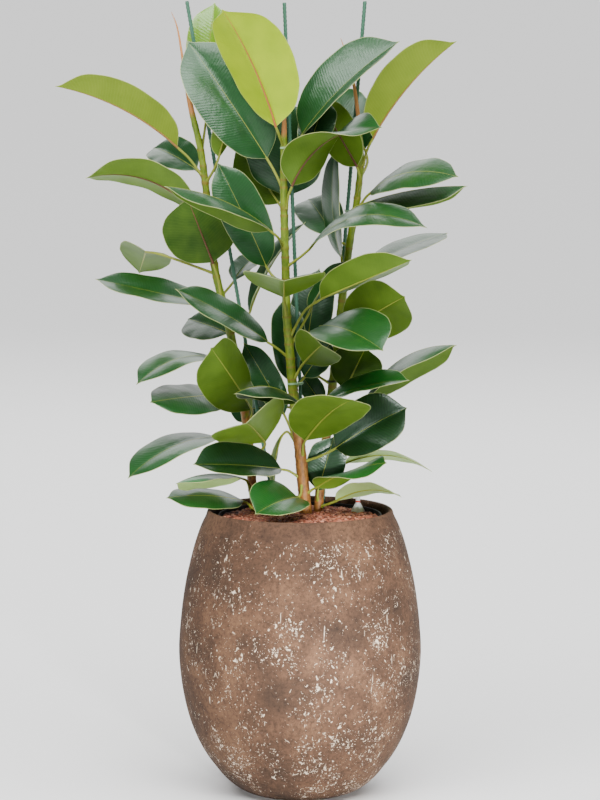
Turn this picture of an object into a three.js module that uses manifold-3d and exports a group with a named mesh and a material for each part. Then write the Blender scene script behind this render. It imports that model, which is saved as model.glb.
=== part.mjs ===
// Potted rubber plant: three stems with large glossy leaves, three stakes, clay granules in a
// culture pot, and an egg-shaped planter. Millimetres, +Z up, the planter stands on Z = 0.
import * as THREE from "three";
import Module from "manifold-3d";

const wasm = await Module();
wasm.setup();
const { Manifold, Mesh } = wasm;

// ---------------------------------------------------------------- driving dimensions
const GAP = 0.3;                  // clearance between pieces that touch
const PLANTER_HEIGHT = 610;
const PLANTER_WALL = 14;
const PLANTER_FLOOR = 26;         // inner floor above the ground
const PLANTER_SIDES = 32;
const LIP_RADIUS = 5;

const LINER_TOP_RADIUS = 173;
const LINER_BASE_RADIUS = 116;
const LINER_TOP = 599;
const LINER_WALL = 2.5;
const LINER_FLOOR = 4;
const LINER_SIDES = 32;

const BED_LEVEL = 590;            // mean height of the granules
const GRANULE = 14;               // spacing of the granules
const BED_SIDES = 40;
const GRANULE_RELIEF = 2.6;       // how far a granule stands up or lies deep
const ROOT_DEPTH = 95;            // how deep the stems stand in the granules
const STAKE_DEPTH = 210;

const STEM_SIDES = 8;
const STAKE_RADIUS = 4.5;
const STAKE_KNOB = 0.5;
const STAKE_PITCH = 90;
const STAKE_TOP = 1682;

const PETIOLE_RADIUS = 3;
const BLADE_THICKNESS = 1.7;
const RIB_DEPTH = 3.4;
const RIB_HALF_WIDTH = 1.9;

// outer outline of the planter, [radius, height]
const PLANTER_OUTLINE = [
  [104, 0], [134, 14], [161, 36], [181, 60], [199, 84], [217, 116], [234, 158], [246, 203],
  [254, 252], [258, 305], [256, 350], [250, 410], [242, 460], [232, 505], [221, 545], [209, 578],
  [203, 590],
];

// rows across a blade, [share of its length, share of its half width]
const BLADE_ROWS = [
  [0.06, 0.42], [0.2, 0.8], [0.38, 0.97], [0.56, 1], [0.73, 0.91], [0.87, 0.64], [0.955, 0.32],
];

const INNER_BLADE_ROWS = [[0.1, 0.55], [0.35, 0.96], [0.6, 1], [0.82, 0.76], [0.95, 0.34]];

const COLOURS = {
  planter: 0x8a6e5c,
  liner: 0x1d1b1a,
  granule: 0xa65d4a,
  gauge: 0xb9bcb8,
  stem: 0x8f8a3a,
  stake: 0x4f7f63,
  mature: 0x24541f,
  young: 0xa9b83a,
};

// ---------------------------------------------------------------- stems and stakes
// axis of each stem from the granules to the bud's point, [x, y, z, radius]
const STEMS = {
  left: [
    [-94, 80, 590, 10.5], [-103, 79, 660, 10.3], [-115, 78, 790, 10], [-143, 76, 952, 9.5],
    [-166, 74, 1048, 9], [-183, 72, 1130, 8.5], [-199, 68, 1283, 7.9], [-211, 66, 1372, 7.6],
    [-229, 64, 1450, 6.5], [-242, 62, 1516, 3.8], [-250, 60, 1576, 2.8], [-259, 58, 1628, 2],
    [-271, 57, 1660, 0.8],
  ],
  centre: [
    [13, 60, 590, 13.2], [6, 57, 664, 13], [-2, 52, 751, 12.3], [-15, 45, 859, 11],
    [-21, 40, 934, 10], [-28, 34, 1020, 9.4], [-30, 28, 1095, 9], [-32, 22, 1181, 8.8],
    [-34, 16, 1266, 8.4], [-34, 10, 1360, 7.6], [-33, 8, 1430, 5], [-32, 7, 1462, 1.2],
  ],
  right: [
    [39, 95, 590, 10.3], [45, 93, 658, 10.2], [66, 88, 832, 9.8], [85, 82, 1005, 9.2],
    [100, 78, 1129, 8.6], [110, 74, 1198, 8.2], [121, 70, 1262, 7.8], [129, 66, 1345, 7],
    [126, 66, 1410, 5.2], [115, 68, 1500, 3.8], [99, 70, 1565, 2.6], [86, 71, 1604, 0.8],
  ],
};

// each stake is straight, from its point at the granules to its top
const STAKES = {
  left: [[-54, 105, 587], [-239, 90, 1680]],
  centre: [[11, 96, 589], [-33, -9, 1687]],
  right: [[47, 122, 585], [137, 86, 1678]],
};

const GAUGE = { x: 124, y: 80, radius: 5, top: 635, depth: 150, footRadius: 14, footHeight: 17 };

// ---------------------------------------------------------------- leaves
// stem height of the joint, then the blade's base and tip; width across both halves; "face" is
// how far the upper side is turned away from the front, in degrees; "fold" lifts each half from
// the midrib; "arch" and "bow" bend the midrib as a share of the length.
const LEAVES = {
  left_01: { joint: 1374, base: [-197, 112, 1485], tip: [-181, 140, 1678], width: 100, face: 20, fold: 10, young: true },
  left_02: { joint: 1321, base: [-260, 60, 1377], tip: [-514, 0, 1507], width: 128, face: 122, fold: 30, bow: -0.03, young: true },
  left_03: { joint: 1187, base: [-222, 62, 1240], tip: [-453, 20, 1312], width: 122, face: 125, fold: 12, arch: 0.16 },
  left_05: { joint: 1053, base: [-185, 52, 1131], tip: [-239, 44, 1270], width: 158, face: 180, fold: 6, arch: 0 },
  left_07: { joint: 1304, base: [-172, 42, 1356], tip: [-138, 28, 1447], width: 56, face: 150, fold: 35 },
  left_08: { joint: 1308, base: [-221, 95, 1325], tip: [-317, 240, 1361], width: 90, face: 40 },
  left_09: { joint: 1108, base: [-329, 120, 1149], tip: [-350, 285, 1086], width: 118, face: 180, arch: 0.05 },
  left_10: { joint: 1022, base: [-202, 70, 1042], tip: [-438, 110, 1090], width: 115, face: 70, fold: 8, arch: 0 },
  left_11: { joint: 951, base: [-154, 100, 975], tip: [-243, 225, 992], width: 100, face: 45, fold: 6, arch: 0.02 },
  left_14: { joint: 983, base: [-109, 95, 1020], tip: [12, 112, 1212], width: 104, face: 82 },
  left_15: { joint: 887, base: [-166, 60, 921], tip: [-344, -70, 884], width: 116, face: 78, fold: 2, arch: 0.14 },
  left_16: { joint: 818, base: [-160, 66, 846], tip: [-315, -78, 848], width: 110, face: 61, fold: -6, arch: 0.02 },
  left_17: { joint: 779, base: [-104, 50, 817], tip: [-186, -150, 972], width: 140, face: 208, fold: 28, arch: -0.02 },
  left_18: { joint: 712, base: [-75, 42, 748], tip: [-113, -140, 812], width: 176, face: 180, fold: 16 },
  left_20: { joint: 721, base: [-179, 60, 757], tip: [-363, -70, 685], width: 108, face: 68, fold: 3, arch: 0.1 },
  left_21: { joint: 648, base: [-122, 60, 668], tip: [-262, -70, 674], width: 98, face: 112, fold: -26, arch: 0.08 },
  left_22: { joint: 602, base: [-122, 60, 619], tip: [-284, -30, 638], width: 86, face: 68, fold: -8, arch: 0.05 },
  centre_01: { joint: 1385, base: [-50, -24, 1425], tip: [-161, -120, 1672], width: 176, face: 147, fold: 20, young: true },
  centre_02: { joint: 1300, base: [-70, 26, 1354], tip: [-239, 70, 1600], width: 146, face: 12, fold: 12 },
  centre_03: { joint: 1334, base: [4, 15, 1405], tip: [209, 20, 1600], width: 148, face: 58, fold: 26 },
  centre_04: { joint: 1253, base: [-17, -6, 1299], tip: [171, -64, 1424], width: 150, face: 108, fold: 10, arch: 0.17, twist: 90 },
  centre_05: { joint: 1172, base: [-61, -16, 1205], tip: [-284, -60, 1301], width: 116, face: 106, fold: -30, arch: 0.08, twist: -24 },
  centre_06: { joint: 1087, base: [-72, 44, 1124], tip: [-175, 38, 1345], width: 100, face: 12, fold: 10 },
  centre_07: { joint: 1128, base: [19, -4, 1166], tip: [265, -112, 1218], width: 118, face: 75, fold: 2, arch: 0.19 },
  centre_10: { joint: 935, base: [-68, 18, 966], tip: [-263, -6, 1080], width: 110, face: 66, fold: 5, arch: 0.03 },
  centre_13: { joint: 1025, base: [-34, 5, 1062], tip: [-33, -190, 1115], width: 176, face: 180, fold: 14 },
  centre_14: { joint: 982, base: [44, -4, 1060], tip: [233, -115, 1152], width: 120, face: 129, fold: 24, arch: 0 },
  centre_15: { joint: 889, base: [8, 20, 920], tip: [46, -105, 972], width: 110, face: 180 },
  centre_16: { joint: 723, base: [11, 25, 754], tip: [110, -190, 868], width: 152, face: 148, fold: 6 },
  centre_17: { joint: 638, base: [34, 40, 651], tip: [183, -80, 720], width: 100, face: 100, fold: -6, arch: 0.05, twist: 80 },
  centre_18: { joint: 805, base: [0, -8, 838], tip: [-138, -120, 871], width: 104, face: 105, fold: -30, arch: 0.14 },
  centre_19: { joint: 705, base: [76, 34, 736], tip: [228, 38, 822], width: 130, face: 30 },
  centre_20: { joint: 675, base: [-40, 38, 691], tip: [-226, -66, 715], width: 108, face: 56, fold: 20, arch: 0.02 },
  centre_21: { joint: 652, base: [-4, 15, 633], tip: [-94, -120, 617], width: 120, face: 54, fold: 16 },
  centre_24: { joint: 751, base: [-34, 64, 805], tip: [-121, 74, 958], width: 66, face: 15 },
  right_01: { joint: 1341, base: [154, 50, 1397], tip: [329, 10, 1601], width: 148, face: 122, fold: 30, young: true },
  right_02: { joint: 1273, base: [120, 26, 1337], tip: [38, 95, 1477], width: 84, face: 172, fold: 8, arch: 0 },
  right_03: { joint: 1305, base: [138, 112, 1368], tip: [62, 200, 1482], width: 120, face: 10 },
  right_04: { joint: 1247, base: [150, 50, 1282], tip: [331, -80, 1322], width: 118, face: 68, fold: -4, arch: 0.13 },
  right_05: { joint: 1215, base: [117, 50, 1250], tip: [353, 0, 1297], width: 120, face: 97, fold: -37, arch: 0.05 },
  right_07: { joint: 1100, base: [86, 66, 1141], tip: [76, 80, 1372], width: 90, face: -66, fold: 5 },
  right_08: { joint: 1164, base: [70, 100, 1184], tip: [18, 230, 1252], width: 100, face: 20 },
  right_11: { joint: 962, base: [100, 62, 984], tip: [220, -80, 1072], width: 134, face: 176, fold: 8, arch: 0.03 },
  right_12: { joint: 980, base: [46, 0, 1002], tip: [173, -160, 966], width: 150, face: 55, fold: 10, arch: 0.08 },
  right_14: { joint: 824, base: [96, 62, 858], tip: [139, -20, 958], width: 108, face: 178, fold: 8, arch: 0 },
  right_15: { joint: 812, base: [140, 88, 836], tip: [333, 20, 958], width: 142, face: 112, fold: -34, arch: 0.15 },
  right_16: { joint: 800, base: [47, 30, 831], tip: [230, -70, 894], width: 90, face: 75 },
  right_21: { joint: 680, base: [96, 80, 698], tip: [280, 0, 690], width: 98, face: 110, fold: 0, arch: 0.13 },
  right_22: { joint: 604, base: [77, 60, 620], tip: [215, -32, 640], width: 84, face: 118, fold: 6, arch: 0.12 },
  right_26: { joint: 1097, base: [154, 100, 1121], tip: [319, 220, 1179], width: 110, face: 76, fold: 3, arch: 0.03 },
};

// leaves in the shade between the stems, each one body with the stem it grows from
const INNER_LEAVES = {
  centre_08: { joint: 1260, base: [-28, 88, 1269], tip: [-19, 110, 1467], width: 176, face: 14, fold: 12 },
  centre_09: { joint: 1239, base: [-45, 100, 1253], tip: [-137, 150, 1371], width: 92, face: 170, fold: 6 },
  centre_26: { joint: 853, base: [-21, 75, 874], tip: [-34, 100, 1050], width: 76, face: 12 },
  right_27: { joint: 865, base: [13, 96, 930], tip: [41, 130, 1111], width: 92, face: 10, fold: 8 },
  centre_28: { joint: 861, base: [9, 52, 886], tip: [68, 56, 960], width: 68, face: 30, fold: 6 },
  centre_33: { joint: 1312, base: [17, 20, 1367], tip: [55, 62, 1478], width: 76, face: 10, fold: 6 },
  centre_30: { joint: 955, base: [17, 34, 1025], tip: [99, 30, 1136], width: 60, face: 74, fold: 20 },
  centre_25: { joint: 799, base: [-43, 112, 816], tip: [-153, 172, 797], width: 60, face: 14 },
  centre_23: { joint: 735, base: [-39, 86, 759], tip: [-56, 84, 642], width: 56, face: 104, fold: 6 },
  right_19: { joint: 608, base: [39, 76, 639], tip: [73, 74, 756], width: 82, face: 4, fold: 2 },
  right_29: { joint: 802, base: [45, 110, 821], tip: [4, 118, 880], width: 52, face: 20 },
  left_12: { joint: 1057, base: [-141, 125, 1086], tip: [-91, 210, 1130], width: 60, face: 50 },
};

const LEAF_DEFAULTS = { width: 110, face: 90, fold: 14, arch: 0.06, bow: 0, twist: 0, young: false };

// ---------------------------------------------------------------- small tools
const vec = (x, y, z) => new THREE.Vector3(x, y, z);
const degrees = (angle) => THREE.MathUtils.degToRad(angle);
const mix = (a, b, share) => a + (b - a) * share;

// part of v at right angles to the unit vector axis, with length 1
function square(v, axis) {
  return v.clone().addScaledVector(axis, -v.dot(axis)).normalize();
}

// repeatable random numbers from 0 to 1
function randomSource(seed) {
  let state = seed;
  return () => {
    state = (state * 1664525 + 1013904223) % 4294967296;
    return state / 4294967296;
  };
}

// a closed skin over rings of equal point counts, each ring clockwise as seen along the loft;
// "under" gives the columns whose diagonals run the other way
function loft(rings, endPoint = null, under = () => false) {
  const count = rings[0].length;
  const points = rings.flat();
  const faces = [];
  for (let row = 0; row + 1 < rings.length; row += 1) {
    for (let column = 0; column < count; column += 1) {
      const next = (column + 1) % count;
      const a = row * count + column;
      const b = row * count + next;
      const c = a + count;
      const d = b + count;
      if (under(column)) {
        faces.push([a, b, c], [b, d, c]);
      } else {
        faces.push([a, b, d], [a, d, c]);
      }
    }
  }
  const middle = (ring) => ring.reduce((sum, p) => sum.add(p), vec(0, 0, 0)).divideScalar(count);
  const start = points.push(middle(rings[0])) - 1;
  const last = (rings.length - 1) * count;
  const end = points.push(endPoint ?? middle(rings[rings.length - 1])) - 1;
  for (let column = 0; column < count; column += 1) {
    const next = (column + 1) % count;
    faces.push([start, next, column]);
    faces.push([last + column, last + next, end]);
  }
  const geometry = new THREE.BufferGeometry();
  const flat = points.flatMap((p) => [p.x, p.y, p.z]);
  geometry.setAttribute("position", new THREE.Float32BufferAttribute(flat, 3));
  geometry.setIndex(faces.flat());
  return geometry;
}

// a ring of points round a centre, clockwise as seen along the direction
function circleRing(centre, direction, upward, radius, sides) {
  const up = square(upward, direction);
  const right = direction.clone().cross(up);
  return Array.from({ length: sides }, (_, index) => {
    const angle = (-2 * Math.PI * index) / sides;
    return centre.clone()
      .addScaledVector(right, radius * Math.cos(angle))
      .addScaledVector(up, radius * Math.sin(angle));
  });
}

function toManifold(geometry) {
  const mesh = new Mesh({
    numProp: 3,
    vertProperties: new Float32Array(geometry.attributes.position.array),
    triVerts: new Uint32Array(geometry.index.array),
  });
  mesh.merge();
  return new Manifold(mesh);
}

function fromManifold(solid) {
  const mesh = solid.getMesh();
  const geometry = new THREE.BufferGeometry();
  geometry.setAttribute("position", new THREE.Float32BufferAttribute(mesh.vertProperties, 3));
  geometry.setIndex(Array.from(mesh.triVerts));
  return geometry;
}

// a body turned round a vertical axis; the outline runs anticlockwise in the (radius, height)
// plane: up the outside, then down the inside; a radius of 0 closes it on the axis
function turned(outline, sides) {
  const points = [];
  const faces = [];
  const rows = outline.map(([radius, height]) => {
    if (radius === 0) {
      const index = points.push(vec(0, 0, height)) - 1;
      return Array(sides).fill(index);
    }
    return Array.from({ length: sides }, (_, side) => {
      const angle = (2 * Math.PI * side) / sides;
      return points.push(vec(radius * Math.cos(angle), radius * Math.sin(angle), height)) - 1;
    });
  });
  const closed = outline[0][0] !== 0;
  const spans = closed ? rows.length : rows.length - 1;
  for (let row = 0; row < spans; row += 1) {
    const low = rows[row];
    const high = rows[(row + 1) % rows.length];
    for (let side = 0; side < sides; side += 1) {
      const next = (side + 1) % sides;
      if (low[side] !== low[next]) faces.push([low[side], low[next], high[next]]);
      if (high[side] !== high[next]) faces.push([low[side], high[next], high[side]]);
    }
  }
  const geometry = new THREE.BufferGeometry();
  const flat = points.flatMap((p) => [p.x, p.y, p.z]);
  geometry.setAttribute("position", new THREE.Float32BufferAttribute(flat, 3));
  geometry.setIndex(faces.flat());
  return geometry;
}

function material(colour, roughness) {
  return new THREE.MeshStandardMaterial({ color: colour, roughness, metalness: 0 });
}

function piece(name, geometry, surface) {
  const mesh = new THREE.Mesh(geometry, surface);
  mesh.name = name;
  return mesh;
}

// ---------------------------------------------------------------- planter, liner, granules
function planterGeometry() {
  const lip = PLANTER_OUTLINE[PLANTER_OUTLINE.length - 1][0];
  const crown = lip - 4 - LIP_RADIUS;
  const rim = [
    [lip - 4, PLANTER_HEIGHT - 11],
    [crown + 3, PLANTER_HEIGHT - 2],
    [crown, PLANTER_HEIGHT],
    [crown - LIP_RADIUS, PLANTER_HEIGHT - 3],
    [crown - LIP_RADIUS - 2, PLANTER_HEIGHT - 12],
  ];
  const inside = PLANTER_OUTLINE.slice(2)
    .filter((_, index) => index % 2 === 0)
    .reverse()
    .map(([radius, height]) => [radius - PLANTER_WALL * 1.15, height]);
  const floor = [[112, PLANTER_FLOOR], [0, PLANTER_FLOOR]];
  return turned([[0, 0], ...PLANTER_OUTLINE, ...rim, ...inside, ...floor], PLANTER_SIDES);
}

function linerRadius(height) {
  const share = (height - PLANTER_FLOOR) / (LINER_TOP - PLANTER_FLOOR);
  return mix(LINER_BASE_RADIUS, LINER_TOP_RADIUS, share);
}

function linerGeometry() {
  const base = PLANTER_FLOOR + GAP;
  const floor = base + LINER_FLOOR;
  return turned([
    [0, base],
    [LINER_BASE_RADIUS - 6, base],
    [LINER_BASE_RADIUS, base + 6],
    [LINER_TOP_RADIUS - 1, LINER_TOP - 6],
    [LINER_TOP_RADIUS + 1, LINER_TOP - 5],
    [LINER_TOP_RADIUS + 1, LINER_TOP],
    [LINER_TOP_RADIUS - LINER_WALL, LINER_TOP],
    [LINER_BASE_RADIUS - LINER_WALL, floor + 3],
    [LINER_BASE_RADIUS - 8, floor],
    [0, floor],
  ], LINER_SIDES);
}

// the granules fill the liner; their top is a field of small lumps
function bedBody() {
  const random = randomSource(7);
  const edge = (height) => linerRadius(height) - LINER_WALL - GAP - 0.8;
  const rows = Math.round(edge(BED_LEVEL) / GRANULE);
  const lumps = [];
  for (let row = rows; row >= 1; row -= 1) {
    const radius = (edge(BED_LEVEL) * row) / rows;
    lumps.push(radius);
  }
  const floor = PLANTER_FLOOR + LINER_FLOOR + 2 * GAP;
  const outline = [[0, floor], [LINER_BASE_RADIUS - 10, floor], [edge(floor + 6) - 1, floor + 6]];
  for (const radius of lumps) outline.push([radius, BED_LEVEL]);
  outline.push([0, BED_LEVEL]);
  const geometry = turned(outline, BED_SIDES);
  const place = geometry.attributes.position;
  for (let index = 0; index < place.count; index += 1) {
    const x = place.getX(index);
    const y = place.getY(index);
    const lump = (random() - 0.5) * 2 * GRANULE_RELIEF;
    const inner = Math.hypot(x, y) < edge(BED_LEVEL) - 1;
    if (place.getZ(index) > BED_LEVEL - 1) {
      place.setZ(index, BED_LEVEL + lump);
      if (inner && Math.hypot(x, y) > 1) {
        place.setX(index, x + (random() - 0.5) * 3);
        place.setY(index, y + (random() - 0.5) * 3);
      }
    }
  }
  return toManifold(geometry);
}

// ---------------------------------------------------------------- stems
// place, direction and radius of a stem at a height
function stemAt(axis, height) {
  let index = 1;
  while (index < axis.length - 1 && axis[index][2] < height) index += 1;
  const low = axis[index - 1];
  const high = axis[index];
  const share = (height - low[2]) / (high[2] - low[2]);
  return {
    place: vec(mix(low[0], high[0], share), mix(low[1], high[1], share), height),
    along: vec(high[0] - low[0], high[1] - low[1], high[2] - low[2]).normalize(),
    radius: mix(low[3], high[3], Math.min(1, Math.max(0, share))),
  };
}

// how far the faceted stem reaches towards the unit vector away
function facetReach(stem, away) {
  const up = square(vec(0, -1, 0), stem.along);
  const right = stem.along.clone().cross(up);
  const turns = (Math.atan2(away.dot(up), away.dot(right)) * STEM_SIDES) / (2 * Math.PI);
  const offCorner = ((turns - Math.round(turns)) * 2 * Math.PI) / STEM_SIDES;
  return stem.radius * Math.cos(offCorner);
}

// rings of a stem: one at each of its axis points and three at each leaf scar
function stemRings(axis, scars, extra) {
  const bottom = BED_LEVEL - ROOT_DEPTH;
  const top = axis[axis.length - 1][2];
  const heights = [bottom, ...axis.map((point) => point[2])];
  for (const scar of scars) heights.push(scar - 5, scar, scar + 4);
  heights.sort((a, b) => a - b);
  const kept = heights.filter((height, index) => index === 0 || height - heights[index - 1] > 2.5);
  return kept.filter((height) => height < top - 1).map((height) => {
    const spot = stemAt(axis, height);
    const swell = scars.some((scar) => Math.abs(scar - height) < 2) ? 0.9 : 0;
    const radius = spot.radius + swell + extra;
    return circleRing(spot.place, spot.along, vec(0, -1, 0), radius, STEM_SIDES);
  });
}

function stemGeometry(side, extra = 0) {
  const axis = STEMS[side];
  const joints = Object.entries({ ...LEAVES, ...INNER_LEAVES })
    .filter(([name]) => name.startsWith(side))
    .map(([, leaf]) => leaf.joint);
  const clear = (height) => joints.every((joint) => Math.abs(joint - height) > 9);
  const scars = joints.map((joint) => joint - 10)
    .filter((height, index) => index % 2 === 0 && height > BED_LEVEL + 20 && clear(height));
  const tip = axis[axis.length - 1];
  return loft(stemRings(axis, scars, extra), vec(tip[0], tip[1], tip[2]));
}

// ---------------------------------------------------------------- stakes and water gauge
function stakeGeometry(side, extra = 0) {
  const [foot, top] = STAKES[side].map(([x, y, z]) => vec(x, y, z));
  const along = top.clone().sub(foot).normalize();
  const length = (STAKE_TOP - foot.z) / along.z;
  const buried = STAKE_DEPTH / along.z;
  const steps = Math.round((length + buried) / STAKE_PITCH);
  const rings = [];
  for (let step = 0; step <= steps; step += 1) {
    const centre = foot.clone().addScaledVector(along, mix(-buried, length, step / steps));
    const knob = extra === 0 ? (step % 2) * STAKE_KNOB : STAKE_KNOB;
    const radius = STAKE_RADIUS - STAKE_KNOB + knob + extra;
    rings.push(circleRing(centre, along, vec(0, -1, 0), radius, 8));
  }
  return loft(rings);
}

function gaugeTube(extra = 0) {
  const { x, y, radius, top, depth } = GAUGE;
  const wide = radius + extra;
  const body = turned([
    [0, BED_LEVEL - depth], [wide, BED_LEVEL - depth], [wide, top - 8],
    [wide + 1.2, top - 7.5], [wide + 1.2, top - 1], [wide - 1, top], [0, top],
  ], 12);
  return toManifold(body.translate(x, y, 0));
}

function gaugeFoot() {
  const { x, y, radius, footRadius, footHeight } = GAUGE;
  const low = BED_LEVEL + GRANULE_RELIEF + GAP;
  const body = turned([
    [0, low], [footRadius, low], [footRadius, low + 3], [footRadius - 3, low + 9],
    [footRadius - 6, low + footHeight - 2], [radius + 1.5, low + footHeight],
    [0, low + footHeight],
  ], 16);
  return toManifold(body.translate(x, y, 0));
}

// ---------------------------------------------------------------- leaf
// bends the straight line from base to tip; gives the midrib's place, direction, upper side and
// right-hand side at a share of the length
function bladeLine(leaf) {
  const base = vec(...leaf.base);
  const chord = vec(...leaf.tip).sub(base);
  const length = chord.length();
  const along = chord.clone().normalize();
  const front = square(vec(0, -1, 0), along);
  const rise = along.clone().cross(front);
  if (rise.z < 0) rise.negate();
  const turn = degrees(leaf.face);
  const upper = front.multiplyScalar(Math.cos(turn)).addScaledVector(rise, Math.sin(turn));
  const right = along.clone().cross(upper);
  const bend = upper.clone().multiplyScalar(leaf.arch).addScaledVector(right, leaf.bow);
  return (share) => {
    const place = base.clone().addScaledVector(chord, share)
      .addScaledVector(bend, length * 4 * share * (1 - share));
    const heading = along.clone().addScaledVector(bend, 4 * (1 - 2 * share)).normalize();
    const normal = square(upper, heading).applyAxisAngle(
      heading, degrees(leaf.twist * (share - 0.5)),
    );
    return { place, heading, normal, right: heading.clone().cross(normal) };
  };
}

const PETIOLE_ANGLES = [180, 135, 90, 45, 0, -40, -70, -110, -140];

function petioleRing(spot, radius) {
  return PETIOLE_ANGLES.map((angle) => spot.place.clone()
    .addScaledVector(spot.right, radius * Math.cos(degrees(angle)))
    .addScaledVector(spot.normal, radius * Math.sin(degrees(angle))));
}

// nine points across a blade: five on the upper side from edge to edge, and four on the
// underside, two of them on the proud midrib
function bladeRing(spot, half, fold, share) {
  const out = Math.cos(degrees(fold));
  const lift = Math.sin(degrees(fold));
  const rib = mix(1, 0.35, share);
  const quarter = 0.5 * half;
  const curl = 0.035 * half;
  const under = BLADE_THICKNESS;
  const section = [
    [-half * out, half * lift],
    [-quarter * out, quarter * lift + curl],
    [0, 0],
    [quarter * out, quarter * lift + curl],
    [half * out, half * lift],
    [quarter * out, quarter * lift + curl - under],
    [RIB_HALF_WIDTH * rib, -RIB_DEPTH * rib],
    [-RIB_HALF_WIDTH * rib, -RIB_DEPTH * rib],
    [-quarter * out, quarter * lift + curl - under],
  ];
  return section.map(([across, above]) => spot.place.clone()
    .addScaledVector(spot.right, across)
    .addScaledVector(spot.normal, above));
}

// a stem's own leaves root outside its skin; with "sunk" they root inside it, to be joined to it
function leafGeometry(side, given, rows = BLADE_ROWS, sunk = false) {
  const leaf = { ...LEAF_DEFAULTS, ...given };
  const blade = bladeLine(leaf);
  const start = blade(0);
  const stem = stemAt(STEMS[side], leaf.joint);
  const away = square(start.place.clone().sub(stem.place), stem.along);
  const outside = facetReach(stem, away) + GAP + 0.1;
  const root = stem.place.clone().addScaledVector(away, sunk ? 0.3 * stem.radius : outside);
  const reach = start.place.distanceTo(root);
  const knee = start.place.clone().addScaledVector(start.heading, -0.45 * reach);
  const path = new THREE.QuadraticBezierCurve3(root, knee, start.place);
  const spotAt = (place, heading) => {
    const normal = square(start.normal, heading);
    return { place, normal, right: heading.clone().cross(normal) };
  };
  const rings = [
    petioleRing(spotAt(root, away), PETIOLE_RADIUS + 0.6),
    petioleRing(spotAt(path.getPoint(0.5), path.getTangent(0.5)), PETIOLE_RADIUS),
    petioleRing(start, PETIOLE_RADIUS),
  ];
  for (const [share, wide] of rows) {
    rings.push(bladeRing(blade(share), (leaf.width / 2) * wide, leaf.fold, share));
  }
  return loft(rings, blade(1).place, (column) => column >= 4);
}

// a stem with its inner leaves
function leafyStem(side) {
  let stem = toManifold(stemGeometry(side));
  for (const [name, leaf] of Object.entries(INNER_LEAVES)) {
    if (!name.startsWith(side)) continue;
    stem = stem.add(toManifold(leafGeometry(side, leaf, INNER_BLADE_ROWS, true)));
  }
  return fromManifold(stem);
}

// ---------------------------------------------------------------- the part
const part = new THREE.Group();
part.name = "potted_rubber_plant";

part.add(piece("planter", planterGeometry(), material(COLOURS.planter, 0.9)));
part.add(piece("liner", linerGeometry(), material(COLOURS.liner, 0.6)));

let bed = bedBody();
for (const side of Object.keys(STEMS)) {
  bed = bed.subtract(toManifold(stemGeometry(side, GAP)));
  bed = bed.subtract(toManifold(stakeGeometry(side, GAP)));
}
bed = bed.subtract(gaugeTube(GAP));
part.add(piece("granules", fromManifold(bed), material(COLOURS.granule, 0.95)));

part.add(piece("gauge", fromManifold(gaugeTube().add(gaugeFoot())), material(COLOURS.gauge, 0.3)));

for (const side of Object.keys(STEMS)) {
  part.add(piece(`stem_${side}`, leafyStem(side), material(COLOURS.stem, 0.7)));
  part.add(piece(`stake_${side}`, stakeGeometry(side), material(COLOURS.stake, 0.6)));
}

for (const [name, leaf] of Object.entries(LEAVES)) {
  const colour = leaf.young ? COLOURS.young : COLOURS.mature;
  const side = name.split("_")[0];
  part.add(piece(`leaf_${name}`, leafGeometry(side, leaf), material(colour, 0.35)));
}

export default part;
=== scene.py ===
"""Potted rubber plant: the looks of the planter, granules, stems, stakes, gauge and leaves."""

from __future__ import annotations

import logging
import math
import random
from dataclasses import dataclass, field
from enum import Enum

import bmesh
import bpy
import numpy as np
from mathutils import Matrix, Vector


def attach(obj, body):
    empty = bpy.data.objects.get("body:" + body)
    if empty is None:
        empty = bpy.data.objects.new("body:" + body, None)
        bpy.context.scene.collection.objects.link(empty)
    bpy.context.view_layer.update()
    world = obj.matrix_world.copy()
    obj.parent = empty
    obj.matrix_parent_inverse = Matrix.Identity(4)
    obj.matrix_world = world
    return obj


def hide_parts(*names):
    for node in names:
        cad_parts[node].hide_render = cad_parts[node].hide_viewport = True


LOG = logging.getLogger("rubber_plant")
MM = 0.001
ROOT_BODY = "root"

Material = bpy.types.Material
Object = bpy.types.Object
Socket = bpy.types.NodeSocket
Tree = bpy.types.NodeTree

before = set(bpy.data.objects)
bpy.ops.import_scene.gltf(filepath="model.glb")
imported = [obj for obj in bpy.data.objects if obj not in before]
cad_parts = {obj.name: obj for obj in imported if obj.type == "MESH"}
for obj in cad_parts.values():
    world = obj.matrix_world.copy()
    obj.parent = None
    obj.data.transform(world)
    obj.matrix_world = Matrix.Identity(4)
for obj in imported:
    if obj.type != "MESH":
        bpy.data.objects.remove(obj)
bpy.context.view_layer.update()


# ---------------------------------------------------------------- small tools
def srgb(code: str) -> tuple[float, float, float, float]:
    """Turns an sRGB hex colour to linear.

    Args:
        code: colour as six hex digits.

    Returns:
        Linear red, green, blue and an alpha of 1.
    """
    parts = [int(code[i : i + 2], 16) / 255 for i in (0, 2, 4)]
    linear = [c / 12.92 if c <= 0.04045 else ((c + 0.055) / 1.055) ** 2.4 for c in parts]
    return (linear[0], linear[1], linear[2], 1.0)


def plug(tree: Tree, node: bpy.types.Node, inputs: dict) -> None:
    """Feeds a node's inputs: an output socket is linked, anything else is set as the value.

    Args:
        tree: node tree that the node stands in.
        node: the node to feed.
        inputs: socket name or number to its value or to the output socket that feeds it.
    """
    for name, value in inputs.items():
        if isinstance(value, Socket):
            tree.links.new(value, node.inputs[name])
        else:
            node.inputs[name].default_value = value


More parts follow.
